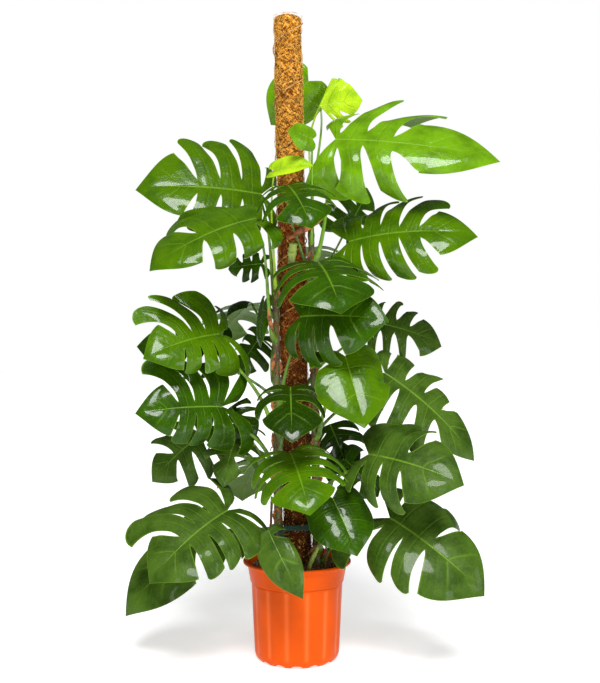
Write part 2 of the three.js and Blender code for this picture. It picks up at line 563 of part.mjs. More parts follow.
    width: 0.6, droop: 40, lobes: 2, end: 0.72, cut: 0.14, gap: 0.1, shut: [[], [1]], ear: 0.05,
    reach: [[0.9, 0.7], [0.7, 1.1]], stalk: [4.5, 3] },
  { base: [40, 205, 1040], tip: [85, 370, 920], face: [160, 40], stem: "back", root: 880,
    width: 1.2, droop: 40, lobes: 4, rows: [] },
  { base: [-120, 200, 890], tip: [-230, 370, 770], face: [-150, 40], stem: "back", root: 740,
    width: 1.2, droop: 40, lobes: 4, rows: [] },
  { base: [110, 200, 690], tip: [200, 370, 560], face: [155, 40], stem: "back", root: 520,
    width: 1.2, droop: 40, lobes: 4, rows: [] },
  { base: [-90, 190, 470], tip: [-160, 360, 330], face: [-160, 40], stem: "back", root: 356,
    width: 1.2, droop: 40, lobes: 4, rows: [] },
  { base: [84, 60, 575], tip: [135, 45, 440], face: [10, 20], stem: "back", root: 430,
    width: 1.3, droop: 30, back: 130, lobes: 3, end: 0.45, stalk: [4.5, 3], rows: [] },
  { base: [-165, -18, 625], tip: [-102, -28, 545], face: [-5, 15], stem: "left", root: 455,
    width: 1.2, droop: 25, back: 130, lobes: 3, end: 0.5, stalk: [4.5, 3], rows: [] },
];

// The assembly
const plant = new THREE.Group();

function addPiece(name, geometry, color, roughness, metalness = 0) {
  const material = new THREE.MeshStandardMaterial({ color, roughness, metalness });
  const mesh = new THREE.Mesh(geometry, material);
  mesh.name = name;
  plant.add(mesh);
}

addPiece("pot", potGeometry(), 0xe8590a, 0.3);
const holes = [
  coreGeometry(GAP), coirOutline(GAP),
  ...Object.values(STEMS).map((stem) => stemGeometry(stem, GAP)),
  ...[...ROOTS, STUBS[0]].map((piece) => spur(piece, GAP)),
];
addPiece("soil", soilGeometry(holes), 0x3a2417, 0.95);
addPiece("pole_core", coreGeometry(), 0x8a6a45, 0.7);
addPiece("coir_sleeve", coirGeometry(), 0xa8692f, 0.95);
addPiece("pole_twine", twineGeometry(), 0xc89a5a, 0.85);
for (const [side, stem] of Object.entries(STEMS))
  addPiece("stem_" + side, stemGeometry(stem), 0x4d5a2a, 0.6);
addPiece("stem_tie", tieGeometry(), 0x1d4a42, 0.8);
ROOTS.forEach((root, i) => addPiece("air_root_" + (i + 1), spur(root), 0x6b4a2c, 0.85));
STUBS.forEach((stub, i) => addPiece("stalk_stub_" + (i + 1), spur(stub), 0x8fae3a, 0.5));
SHEATHS.forEach((sheath, i) => addPiece("sheath_" + (i + 1), sheathGeometry(sheath), 0x9a5a2c, 0.8));
LEAVES.forEach((given, i) => {
  const leaf = { ...ORDINARY, seed: i + 1, ...given };
  addPiece("leaf_" + String(i + 1).padStart(2, "0"), leafGeometry(leaf), 0x3f7d1c, 0.3);
});

export default plant;
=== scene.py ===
"""A potted Swiss cheese plant on a coir pole: fine surfaces and finishes over its plain solid model.

Metres, +Z up, the plant's front faces -Y. Each piece is worked out with numpy and stands for the solids
that it names, in their place.
"""
from math import radians
from types import SimpleNamespace

import bpy
import numpy as np
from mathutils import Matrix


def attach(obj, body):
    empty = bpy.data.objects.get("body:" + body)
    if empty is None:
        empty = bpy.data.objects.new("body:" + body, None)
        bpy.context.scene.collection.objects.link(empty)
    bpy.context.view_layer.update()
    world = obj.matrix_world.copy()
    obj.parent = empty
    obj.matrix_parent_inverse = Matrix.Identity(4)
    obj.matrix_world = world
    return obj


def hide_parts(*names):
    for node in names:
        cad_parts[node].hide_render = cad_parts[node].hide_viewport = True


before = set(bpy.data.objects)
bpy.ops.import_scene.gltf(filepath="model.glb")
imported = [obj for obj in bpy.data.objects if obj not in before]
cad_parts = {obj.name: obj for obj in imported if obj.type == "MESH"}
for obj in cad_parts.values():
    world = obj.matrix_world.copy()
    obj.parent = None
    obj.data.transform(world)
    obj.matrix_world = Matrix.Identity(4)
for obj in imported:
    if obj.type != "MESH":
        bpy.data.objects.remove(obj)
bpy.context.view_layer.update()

bl_info = {
    "name": "Potted Swiss Cheese Plant",
    "version": (1, 0, 0),
    "blender": (4, 5, 0),
    "location": "3D View > Sidebar > Plant",
    "description": "Builds a potted Swiss cheese plant on a coir pole, piece by piece",
    "category": "Add Mesh",
}

MM = 0.001
FRONT = np.array([0.0, -1.0, 0.0])
UP = np.array([0.0, 0.0, 1.0])

# Sizes shared with the solid model, in millimetres
POT = SimpleNamespace(
    height=244, rim=135, lip=8, band_top=124, band_bottom=117, band_height=50, neck=114, foot=106, sole=98,
    wall=2.6, floor=4)
SOIL_LEVEL = 226
POLE = SimpleNamespace(foot=(6, 0, 60), top=(-24, 0, 1602), radius=34, coir_from=72)
TWINE = SimpleNamespace(radius=1.2, lift=2.8, start=360, turns=9, gap=0.4)
TIE = SimpleNamespace(height=324, width=11, slack=16, thickness=1.6)


def grown(radius, *spots):
    """A stem, root or stub: its radius at both ends and the spots that it is led through."""
    return SimpleNamespace(radius=radius, spots=spots)


STEMS = {
    "left": grown((13, 8), (-42, -42, 150), (-47, -40, 420), (-50, -36, 700), (-52, -32, 960)),
    "right": grown((13, 8), (52, -22, 150), (47, -26, 420), (42, -30, 760), (34, -28, 1090)),
    "back": grown((12, 8), (8, 54, 150), (2, 52, 420), (-4, 52, 700), (-8, 50, 1000)),
}
NODE_STEP = 90
ROOTS = [
    grown((3.4, 2.6), (-61, -62, 410), (-64, -76, 320), (-69, -84, 196)),
    grown((3.2, 2.4), (62, -40, 392), (72, -52, 310), (66, -62, 196)),
]
STUBS = [
    grown((6, 5), (18, -62, 196), (34, -68, 250), (58, -74, 300)),
    grown((9, 12), (-14, -56, 972), (-12, -62, 1000), (-8, -72, 1028)),
]
# For each sheath its width, the way that it faces and the spots that it is led through
SHEATHS = [
    (11, (-0.5, -1, 0), [(-70, -78, 866), (-66, -80, 838), (-56, -76, 806)]),
    (11, (-0.3, -1, 0), [(-52, -52, 758), (-58, -54, 738), (-62, -52, 712)]),
    (13, (0, -0.6, 1), [(22, -52, 262), (46, -60, 286), (72, -58, 296)]),
    (20, (0, -1, 0.4), [(-24, -78, 1034), (18, -84, 1060), (66, -76, 1086)]),
]

# How a blade is laid out flat, how thick it is, and how fine its mesh and its stalk's are
VEIN_END = 0.8
FAN = 0.16
VEIN_BEND = 0.13
VEIN_ROOT = 0.45
OUTLINE = SimpleNamespace(centre=0.38, round=0.45, point=0.17, taper=0.3, ear_at=2.6, ear_wide=0.45)
BLADE_THICKNESS = 0.9
STALK_STEPS = 36
COLUMNS = 14
WHOLE_COLUMNS = 48
ROWS = 25

ORDINARY = {
    "width": 1, "droop": 35, "fold": 10, "curl": (45, 45), "lobes": 5, "end": 0.3, "cut": 0.18, "gap": 0.2,
    "shut": ((), ()), "back": 165, "ear": 0.16, "reach": ((), ()), "lean": (0, 0), "sag": 0.05,
    "sway": 0.25, "arch": 0.16, "hook": 0.34, "stalk": (6, 3.4),
}


def leaf_row(base, tip, face, stem, root, **own):
    """One leaf: its blade's base and tip, the way its upper face looks, its stem, and what sets it apart."""
    return SimpleNamespace(**{**ORDINARY, **own}, base=base, tip=tip, face=face, stem=stem, root=root)


LEAVES = [
    leaf_row((-93, 87, 1169), (-412, 35, 1176), (-10, 32), "left", 880, width=1.2, droop=24,
             curl=(50, 14), gap=0.13, hook=0.2,
             reach=((0.6, 0.6, 0.6, 0.7, 0.5), (1.1, 1.15, 1.15, 1.15, 1.1)), lean=(0, 0.1)),
    leaf_row((-98, -102, 1082), (-340, -202, 952), (-15, 46), "left", 800, width=1.2, droop=30,
             curl=(90, 35), lobes=4, gap=0.16, shut=((), (1, 2)),
             reach=((0.5, 0.4, 0.5, 0.3), (1, 1.05, 1.25, 0.9))),
    leaf_row((-56, -66, 1204), (40, -95, 1210), (0, 40), "left", 930, width=0.75, droop=30, fold=20,
             curl=(20, 30), lobes=1, stalk=(4, 2.5)),
    leaf_row((-22, -100, 1162), (35, -197, 1048), (0, 50), "right", 940, width=1.6, droop=40,
             curl=(40, 40), lobes=4, end=0.36, ear=0.05, stalk=(4.5, 3)),
    leaf_row((58, 95, 1400), (172, 110, 1420), (15, 6), "right", 1085, width=1.4, droop=16, curl=(10, 40),
             lobes=3, end=0.5, cut=0.3, gap=0.14, back=86, ear=0, shut=((1, 2), ()),
             reach=((0.8, 0.95, 1), (0.9, 0.9, 0.9)), stalk=(4.5, 2.8)),
    leaf_row((30, 150, 1480), (-72, 190, 1372), (10, 5), "right", 1060, width=1.15, droop=20, lobes=1,
             stalk=(4.5, 2.8)),
    leaf_row((95, -40, 1285), (488, -110, 1222), (5, 36), "right", 1000, width=0.8, droop=16, fold=6,
             curl=(20, 75), lobes=4, end=0.46, gap=0.18, back=150,
             reach=((1.1, 1.3, 1.6, 0.6), (1.6, 1.6, 1.3, 0.35)), lean=(0.25, -0.3)),
    leaf_row((38, -85, 1276), (-22, -120, 1288), (0, 12), "right", 1040, width=1.1, droop=20, lobes=1,
             stalk=(4, 2.5)),
    leaf_row((130, -20, 1035), (440, -80, 1044), (10, 36), "right", 800, droop=36, curl=(30, 60), lobes=6,
             end=0.26, gap=0.13,
             reach=((0.9, 1.1, 1.3, 1.5, 1.7, 0.8), (0.85, 0.85, 0.85, 0.95, 1.1, 0.8)), hook=0.3),
    leaf_row((125, 125, 1075), (192, 200, 1205), (20, -10), "right", 860, width=1.3, droop=30,
             curl=(40, 40), lobes=4, stalk=(4.5, 3)),
    leaf_row((50, -130, 975), (100, -270, 850), (5, 50), "right", 740, width=1.7, droop=40, curl=(40, 40),
             lobes=4, end=0.4, gap=0.14),
    leaf_row((8, -136, 846), (210, -214, 836), (0, 26), "left", 640, width=1.3, droop=24, curl=(20, 60),
             lobes=4, end=0.42, gap=0.12, reach=((0.5, 0.5, 0.5, 0.4), (1.1, 1.2, 1.2, 1))),
    leaf_row((114, -138, 752), (155, -220, 590), (8, 25), "right", 560, width=1.1, droop=14,
             curl=(30, 30), lobes=3, end=0.5, cut=0.35, gap=0.16, ear=0.22, shut=((1, 2), (2,))),
    leaf_row((-190, -70, 805), (-358, -170, 748), (-10, 24), "left", 590, width=1.15, droop=36,
             curl=(60, 10), back=172, ear=0.45, gap=0.09, hook=0.25,
             reach=((1.2, 0.95, 0.8, 0.8, 0.8), (0.9, 1.5, 1.9, 2.1, 0.9)), lean=(0, 0.32)),
    leaf_row((-205, 70, 765), (-415, 70, 775), (-10, 20), "back", 570, droop=30, curl=(55, 35)),
    leaf_row((-180, -90, 630), (-378, -162, 620), (-5, 22), "left", 490, width=1.05, droop=30,
             curl=(55, 15), back=172, ear=0.45, gap=0.09, hook=0.15,
             reach=((1.3, 1, 0.95, 0.95, 0.8), (0.9, 1.2, 1.8, 2.2, 0.8)), lean=(0, 0.32)),
    leaf_row((-218, 70, 570), (-376, 70, 425), (-15, 25), "back", 412, width=1.1, droop=30, curl=(50, 40),
             end=0.25, reach=((1, 1, 1.1, 1.2, 1), (1, 1, 1.1, 1.2, 1))),
    leaf_row((-146, 20, 565), (-181, -57, 430), (-10, 30), "back", 380, width=1.25, droop=40,
             curl=(50, 40), gap=0.26, reach=((1.1, 1.2, 1.1, 1, 0.6), (0.8, 0.8, 0.8, 0.8, 0.6))),
    leaf_row((-165, -120, 385), (-335, -230, 240), (-20, 34), "left", 285, width=1.12, droop=40,
             curl=(45, 25), back=172, ear=0.3, gap=0.09, hook=0.2,
             reach=((0.95, 1.1, 1.05, 1, 1.1), (1, 1.25, 1.6, 2.1, 0.9)), lean=(0, 0.34)),
    leaf_row((-200, 30, 312), (-428, -30, 108), (-15, 46), "back", 275, width=0.8, droop=44,
             curl=(45, 40), lobes=3, end=0.6, reach=((0.9, 0.9, 0.8), (0.9, 0.9, 0.9))),
    leaf_row((-15, -150, 680), (-10, -290, 565), (0, 46), "left", 500, width=1.2, curl=(50, 50), lobes=3,
             end=0.45),
    leaf_row((-15, -150, 525), (30, -290, 405), (0, 46), "right", 360, width=1.5, droop=40, curl=(40, 50),
             ear=0.3, gap=0.14, reach=((1.3, 1.3, 1.2, 1, 1), (1, 1, 1, 1, 1))),
    leaf_row((85, -120, 415), (140, -190, 292), (10, 25), "right", 275, width=1.2, droop=20, lobes=1),
    leaf_row((120, 0, 492), (205, 0, 398), (20, 20), "right", 352, width=1.4, droop=20, lobes=3,
             stalk=(4.5, 3)),
    leaf_row((170, -130, 520), (380, -230, 463), (5, 30), "right", 400, width=1.15, curl=(35, 45),
             lobes=4, end=0.42, gap=0.13, shut=((1, 2), ()),
             reach=((1.25, 1.2, 1.15, 0.9), (1, 1.1, 1.15, 0.9))),
    leaf_row((225, -80, 360), (437, -180, 198), (10, 32), "right", 250, width=1.15, curl=(40, 45),
             lobes=4, end=0.4, ear=0.3, gap=0.12, shut=((2,), ()),
             reach=((1, 1, 0.95, 0.6), (1.2, 1, 0.85, 1.05))),
    leaf_row((220, 0, 708), (452, 20, 486), (25, 30), "back", 480, width=0.95, hook=0.2, curl=(60, 60),
             reach=((0.8, 0.65, 0.6, 0.5, 0.3), (1.1, 1.2, 1.2, 1.1, 0.4))),
    leaf_row((190, 125, 838), (385, 140, 775), (15, 35), "back", 640, width=1.2, curl=(40, 60), gap=0.24),
    leaf_row((-90, 100, 990), (-185, 150, 980), (-15, 10), "back", 840, curl=(40, 60), lobes=4,
             stalk=(4.5, 3)),
    leaf_row((-95, 95, 800), (-155, 100, 700), (-10, 25), "back", 690, width=1.4, curl=(40, 60), lobes=4,
             stalk=(4.5, 3)),
    leaf_row((-82, 0, 885), (-92, -10, 770), (-65, 10), "left", 690, width=0.75, droop=20, lobes=1,
             stalk=(4.5, 3)),
    leaf_row((-66, -190, 352), (14, -252, 209), (-5, 12), "left", 245, width=0.6, droop=40, lobes=2,
             end=0.72, cut=0.14, gap=0.1, shut=((), (1,)), ear=0.05, reach=((0.9, 0.7), (0.7, 1.1)),
             stalk=(4.5, 3)),
    leaf_row((40, 205, 1040), (85, 370, 920), (160, 40), "back", 880, width=1.2, droop=40, lobes=4),
    leaf_row((-120, 200, 890), (-230, 370, 770), (-150, 40), "back", 740, width=1.2, droop=40, lobes=4),
    leaf_row((110, 200, 690), (200, 370, 560), (155, 40), "back", 520, width=1.2, droop=40, lobes=4),
    leaf_row((-90, 190, 470), (-160, 360, 330), (-160, 40), "back", 356, width=1.2, droop=40, lobes=4),
    leaf_row((84, 60, 575), (135, 45, 440), (10, 20), "back", 430, width=1.3, droop=30, back=130, lobes=3,
             end=0.45, stalk=(4.5, 3)),
    leaf_row((-165, -18, 625), (-102, -28, 545), (-5, 15), "left", 455, width=1.2, droop=25, back=130,
             lobes=3, end=0.5, stalk=(4.5, 3)),
]

# Which leaves are just unrolled, young, half grown, in deep shade or greyish with age; the others are dark
TONES = {
    "new": (3, 5), "fresh": (6, 7, 8), "mid": (1, 2, 9, 13, 14, 22),
    "shaded": (15, 21, 33, 34, 35, 36, 37, 38), "aged": (17, 18, 19, 20, 25, 26, 27, 28, 32),
}


# Arrays

def chance(seed, place):
    """A fixed draw from -1 to 1: what is left of a large sine of the seed and the place in its list."""
    v = np.sin(seed * 12.9898 + place * 78.233) * 43758.5453
    return 2 * (v - np.floor(v)) - 1


def unit(v):
    """The vectors at length one."""
    return v / np.maximum(np.linalg.norm(v, axis=-1, keepdims=True), 1e-12)


def mix(a, b, share):
    """The way from a to b that the share gives."""
    return a + (b - a) * share


def eased(v):
    """0 to 1 with a slow start and end: 3v^2 - 2v^3, held outside."""
    v = np.clip(v, 0, 1)
    return v * v * (3 - 2 * v)


def ripple(points, size, seed, waves=20):
    """Soft noise of about -1 to 1: a sum of sines along drawn directions, with waves near the size given."""
    rng = np.random.default_rng(seed)
    heading = unit(rng.normal(size=(waves, 3))) * 2 * np.pi / size * rng.uniform(0.6, 1.6, (waves, 1))
    phase = rng.uniform(0, 2 * np.pi, waves)
    return np.sin(np.asarray(points, float) @ heading.T + phase).sum(axis=-1) / np.sqrt(waves)


def along_path(spots, shares):
    """Places on the smooth curve through the spots: at each, a Catmull-Rom cubic of its four neighbours."""
    spots = np.asarray(spots, float)
    padded = np.vstack([2 * spots[0] - spots[1], spots, 2 * spots[-1] - spots[-2]])
    at = np.clip(np.asarray(shares) * (len(spots) - 1), 0, len(spots) - 1 - 1e-9)
    i = at.astype(int)
    t = (at - i)[:, None]
    a, b, c, d = (padded[i + k] for k in range(4))
    return b + 0.5 * t * (c - a + t * (2 * a - 5 * b + 4 * c - d + t * (3 * (b - c) + d - a)))


def respaced(path, count):
    """The polyline at even steps of its length."""
    length = np.concatenate([[0], np.cumsum(np.linalg.norm(np.diff(path, axis=0), axis=1))])
    even = np.linspace(0, length[-1], count)
    return np.stack([np.interp(even, length, path[:, k]) for k in range(path.shape[1])], axis=1)


def rings_along(path, radius, sides, across):
    """Rings round a path: each point is the centre plus the radius times a turning spoke, square to the path.

    The spoke starts towards the vector across. The arrays are (..., rings, 3), and the radius is
    (..., rings, 1) or (..., rings, sides)."""
    tangent = unit(np.gradient(path, axis=-2))
    across = np.broadcast_to(across, path.shape)
    out = unit(across - (across * tangent).sum(axis=-1, keepdims=True) * tangent)
    other = np.cross(tangent, out)
    turn = 2 * np.pi * np.arange(sides)[:, None] / sides
    spoke = out[..., None, :] * np.cos(turn) + other[..., None, :] * np.sin(turn)
    return path[..., None, :] + np.asarray(radius)[..., None] * spoke


def closed_bodies(rings):
    """Quads between neighbouring rings and a fan to the middle of each end ring.

    The array is (bodies, rings, sides, 3), or (rings, sides, 3) for one body."""
    if rings.ndim == 3:
        rings = rings[None]
    bodies, count, sides, _ = rings.shape
    here = np.arange(bodies * count * sides).reshape(bodies, count, sides)
    there = np.roll(here, -1, axis=2)
    quads = np.stack([here[:, :-1], there[:, :-1], there[:, 1:], here[:, 1:]], axis=-1).reshape(-1, 4)
    poles = here.size + np.arange(2 * bodies).reshape(2, bodies, 1) + np.zeros((1, 1, sides), int)
    first = np.stack([poles[0], there[:, 0], here[:, 0]], axis=-1)
    last = np.stack([poles[1], here[:, -1], there[:, -1]], axis=-1)
    points = np.concatenate([rings.reshape(-1, 3), rings[:, 0].mean(axis=1), rings[:, -1].mean(axis=1)])
    return points, [quads, np.concatenate([first, last]).reshape(-1, 3)]


def thickened(points, triangles, thickness):
    """A sheet made solid: both faces stand off along the point normals, and a rim joins their open edges.

    Returns the points, the faces, and which points lie below and which on the rim."""
    corner = points[triangles]
    flat = np.cross(corner[:, 1] - corner[:, 0], corner[:, 2] - corner[:, 0])
    normal = np.zeros_like(points)
    for k in range(3):
        np.add.at(normal, triangles[:, k], flat)
    normal = unit(normal)
    count = len(points)
    start = triangles.ravel()
    end = np.roll(triangles, -1, axis=1).ravel()
    open_edge = ~np.isin(start * count + end, end * count + start)
    start, end = start[open_edge], end[open_edge]
    on_rim = np.zeros(count)
    on_rim[start] = 1
    half = np.broadcast_to(thickness, count)[:, None] * normal / 2
    rim = np.stack([end, start, start + count, end + count], axis=1)
    solid = np.concatenate([points + half, points - half])
    below = np.repeat([0.0, 1.0], count)
    return solid, [triangles, triangles[:, ::-1] + count, rim], below, np.tile(on_rim, 2)


def grid_triangles(rows, columns):
    """Two triangles for each cell of a grid of points."""
    here = np.arange(rows * columns).reshape(rows, columns)
    a, b, c, d = here[:-1, :-1], here[:-1, 1:], here[1:, 1:], here[1:, :-1]
    return np.concatenate([np.stack([a, b, c], -1), np.stack([a, c, d], -1)]).reshape(-1, 3)


class Surfaces:
    """Surfaces gathered for one piece: points, faces, the finish of each face and what the points carry."""

    def __init__(self, *carried):
        self.points, self.faces, self.finish, self.count = [], [], [], 0
        self.carried = {name: [] for name in carried}

    def add(self, points, faces, finish=0, **values):
        """Adds points and lists of faces, with a value or an array for each name that is carried."""
        for name, parts in self.carried.items():
            parts.append(np.broadcast_to(values.get(name, 0.0), len(points)))
        self.faces += [part + self.count for part in faces]
        self.finish += [np.full(len(part), finish) for part in faces]
        self.points.append(points)
        self.count += len(points)

    def add_tube(self, path, radius, sides, across, finish=0):
        """Adds rings along a path, closed at both ends."""
        self.add(*closed_bodies(rings_along(path, radius, sides, across)), finish)

    def add_strip(self, spots, width, facing, thickness, finish=0, **shape):
        """Adds a cupped strip through the spots, made solid."""
        solid, faces, _, _ = thickened(*cupped_strip(spots, width, facing, **shape), thickness)
        self.add(solid, faces, finish)

    def piece(self, name, slot, nodes, finishes, crease=45):
        """Makes the mesh object, which rides on the plant and stands for the nodes named."""
        mesh = bpy.data.meshes.new(name)
        mesh.vertices.add(self.count)
        mesh.vertices.foreach_set("co", (np.concatenate(self.points) * MM).astype(np.float32).ravel())
        sizes = np.concatenate([np.full(len(part), part.shape[1]) for part in self.faces]).astype(np.int32)
        corners = np.concatenate([part.ravel() for part in self.faces]).astype(np.int32)
        mesh.loops.add(len(corners))
        mesh.loops.foreach_set("vertex_index", corners)
        mesh.polygons.add(len(sizes))
        mesh.polygons.foreach_set("loop_start", (np.cumsum(sizes) - sizes).astype(np.int32))
        mesh.polygons.foreach_set("material_index", np.concatenate(self.finish).astype(np.int32))
        mesh.update(calc_edges=True)
        mesh.shade_smooth()
        mesh.set_sharp_from_angle(angle=radians(crease))
        for label, parts in self.carried.items():
            values = np.concatenate(parts).astype(np.float32)
            mesh.attributes.new(label, "FLOAT", "POINT").data.foreach_set("value", values)
        for finish in finishes:
            mesh.materials.append(finish)
        piece = bpy.data.objects.new(name, mesh)
        bpy.context.scene.collection.objects.link(piece)
        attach(piece, "root")
        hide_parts(*nodes)


# Finishes

def paint(red, green, blue):
    """A screen colour of 0 to 255 in the linear values that shaders take."""
    v = np.array([red, green, blue]) / 255
    return tuple(np.where(v < 0.04045, v / 12.92, ((v + 0.055) / 1.055) ** 2.4).tolist())


def node(tree, kind, inputs=None, **settings):
    """A node with its settings, and each input given a value or linked from another node's output."""
    made = tree.nodes.new("ShaderNode" + kind)
    for key, value in settings.items():
        setattr(made, key, value)
    for key, value in (inputs or {}).items():
        if isinstance(value, bpy.types.NodeSocket):
            tree.links.new(value, made.inputs[key])
        else:
            made.inputs[key].default_value = value
    return made


def calc(tree, operation, a, b=0.0):
    """A Math node's output."""
    return node(tree, "Math", {0: a, 1: b}, operation=operation).outputs[0]


def span(tree, value, low, high, to_low=0.0, to_high=1.0):
    """The value carried smoothly from one range to another and held at its ends."""
    inputs = {0: value, 1: low, 2: high, 3: to_low, 4: to_high}
    return node(tree, "MapRange", inputs, interpolation_type="SMOOTHSTEP").outputs[0]


def tinted(tree, share, a, b):
    """Colour b over colour a by the share; each is a node's output or three linear values."""
    a, b = (v if isinstance(v, bpy.types.NodeSocket) else (*v, 1) for v in (a, b))
    return node(tree, "Mix", {0: share, 6: a, 7: b}, data_type="RGBA").outputs[2]


def carried(tree, name):
    """A value that the piece's points carry."""
    return node(tree, "Attribute", attribute_name=name).outputs["Fac"]


def object_noise(tree, size, detail=4.0, stretch=None):
    """Noise on the piece's own coordinates, with lumps of about the size in metres; stretch thins an axis."""
    place = node(tree, "TexCoord").outputs["Object"]
    if stretch:
        place = node(tree, "Mapping", {"Vector": place, "Scale": stretch}).outputs[0]
    return node(tree, "TexNoise", {"Vector": place, "Scale": 1 / size, "Detail": detail}).outputs[0]


def strand_noise(tree, size, lean):
    """Noise drawn out into strands that lean from the vertical by an angle, seen from the front."""
    place = node(tree, "TexCoord").outputs["Object"]
    turned = node(tree, "Mapping", {"Vector": place, "Rotation": (0, lean, 0), "Scale": (1, 1, 6)},
                  vector_type="TEXTURE").outputs[0]
    return node(tree, "TexNoise", {"Vector": turned, "Scale": 1 / size, "Detail": 2.0}).outputs[0]


def group_of(name, inputs, outputs):
    """A shader node group; inputs and outputs are label: default, where a tuple means a colour."""
    tree = bpy.data.node_groups.new(name, "ShaderNodeTree")
    for direction, sockets in (("INPUT", inputs), ("OUTPUT", outputs)):
        for label, default in sockets.items():
            kind = "NodeSocketColor" if isinstance(default, tuple) else "NodeSocketFloat"
            socket = tree.interface.new_socket(label, in_out=direction, socket_type=kind)
            if direction == "INPUT":
                socket.default_value = (*default, 1) if isinstance(default, tuple) else default
    start, end = tree.nodes.new("NodeGroupInput"), tree.nodes.new("NodeGroupOutput")
    return tree, start.outputs, lambda label, value: tree.links.new(value, end.inputs[label])


def group_for(name, build):
    """The node group of that name, built when it is first asked for."""
    return bpy.data.node_groups.get(name) or build(name)


def mottle_group(name):
    """Uneven colour: coarse and fine noise that carries one colour towards a darker and a lighter one."""
    grey = (0.5, 0.5, 0.5)
    tree, given, give = group_of(
        name, {"Colour": grey, "Dark": grey, "Light": grey, "Coarse": 40.0, "Fine": 400.0},
        {"Colour": grey, "Height": 0.0, "Wear": 0.0})
    place = node(tree, "TexCoord").outputs["Object"]
    coarse, fine = (
        node(tree, "TexNoise", {"Vector": place, "Scale": given[label], "Detail": 5.0}).outputs[0]
        for label in ("Coarse", "Fine"))
    dark = tinted(tree, span(tree, coarse, 0.42, 0.66), given["Colour"], given["Dark"])
    give("Colour", tinted(tree, span(tree, fine, 0.5, 0.74), dark, given["Light"]))
    give("Height", calc(tree, "ADD", calc(tree, "MULTIPLY", coarse, 0.4), fine))
    give("Wear", span(tree, coarse, 0.35, 0.7))
    return tree


def blade_group(name):
    """A blade's look from the values that its points carry.

    Veins show where "aside" (0 on a side vein, 1 at the lobe's margin) or "out" (0 at the midrib, 1 at the
    tip of the lobe) is near 0, and lesser ones as two stripes beside each side vein. "under" is 1 on the
    lower face. "rim" is 1 at the margin, and its fourth power pales a thin line there: the margin's own
    paler edge with painted rim light. The relief is sunk at the veins and puckers by soft noise."""
    green = (0.1, 0.3, 0.03)
    tree, given, give = group_of(
        name, {"Upper": green, "Shade": green, "Under": green, "Vein": green, "Dull": 0.0},
        {"Colour": green, "Roughness": 0.4, "Height": 0.0})
    out, aside, under, rim = (carried(tree, label) for label in ("out", "aside", "under", "rim"))
    patches = object_noise(tree, 0.05, 3.0)
    flecks = object_noise(tree, 0.004, 3.0)
    stripe = calc(tree, "COSINE", calc(tree, "MULTIPLY", aside, 15.7))
    fine = calc(tree, "MULTIPLY", span(tree, stripe, 0.7, 1.0), span(tree, out, 0.95, 0.5))
    side_vein = calc(tree, "MULTIPLY", span(tree, aside, 0.09, 0.0), span(tree, out, 1.0, 0.3))
    midrib = span(tree, out, 0.03, 0.0)
    vein = calc(tree, "MAXIMUM", calc(tree, "MULTIPLY", side_vein, 0.2),
                calc(tree, "MULTIPLY", midrib, 0.5))
    vein = calc(tree, "MAXIMUM", vein, calc(tree, "MULTIPLY", fine, 0.04))
    upper = tinted(tree, span(tree, patches, 0.36, 0.72, 0.0, 0.75), given["Upper"], given["Shade"])
    upper = tinted(tree, calc(tree, "MULTIPLY", span(tree, flecks, 0.5, 0.8), 0.12), upper, given["Vein"])
    face = tinted(tree, under, upper, given["Under"])
    veined = tinted(tree, vein, face, given["Vein"])
    # A pale line at the margin: the margin's paler edge, with painted rim light.
    edge = calc(tree, "MULTIPLY", calc(tree, "POWER", rim, 4.0), 0.55)
    give("Colour", tinted(tree, edge, veined, given["Vein"]))
    rough = calc(tree, "ADD", calc(tree, "MULTIPLY", under, 0.22),
                 span(tree, patches, 0.3, 0.7, 0.2, 0.3))
    give("Roughness", calc(tree, "ADD", rough, given["Dull"]))
    sunk = calc(tree, "MULTIPLY", calc(tree, "ADD", side_vein, calc(tree, "MULTIPLY", stripe, 0.1)), -1.0)
    puckers = calc(tree, "MULTIPLY", object_noise(tree, 0.014, 2.0), 2.2)
    give("Height", calc(tree, "ADD", calc(tree, "ADD", sunk, puckers), calc(tree, "MULTIPLY", flecks, 0.3)))
    return tree


def shader(name, **sockets):
    """A new material with these values on its shader's own sockets."""
    finish = bpy.data.materials.new(name)
    finish.use_nodes = True
    principled = finish.node_tree.nodes["Principled BSDF"]
    for label, value in sockets.items():
        principled.inputs[label.replace("_", " ")].default_value = value
    return finish, finish.node_tree, principled.inputs


def roughened(tree, inputs, height, depth):
    """The height as small relief, depth metres deep."""
    bump = node(tree, "Bump", {"Height": height, "Distance": depth, "Strength": 1.0})
    tree.links.new(bump.outputs[0], inputs["Normal"])


def mottle_node(tree, colour, dark, light, coarse, fine):
    """The outputs of the mottle group with these colours; coarse and fine are lump sizes in metres."""
    inputs = {"Colour": (*colour, 1), "Dark": (*dark, 1), "Light": (*light, 1),
              "Coarse": 1 / coarse, "Fine": 1 / fine}
    return node(tree, "Group", inputs, node_tree=group_for("Mottle", mottle_group)).outputs


def mottled(name, colour, dark, light, coarse, fine, roughness, depth, **sockets):
    """A material with the mottle group's colour and relief, rougher where the coarse noise is high."""
    finish, tree, inputs = shader(name, **sockets)
    mottle = mottle_node(tree, colour, dark, light, coarse, fine)
    tree.links.new(mottle["Colour"], inputs["Base Color"])
    tree.links.new(span(tree, mottle["Wear"], 0.0, 1.0, *roughness), inputs["Roughness"])
    roughened(tree, inputs, mottle["Height"], depth)
    return finish


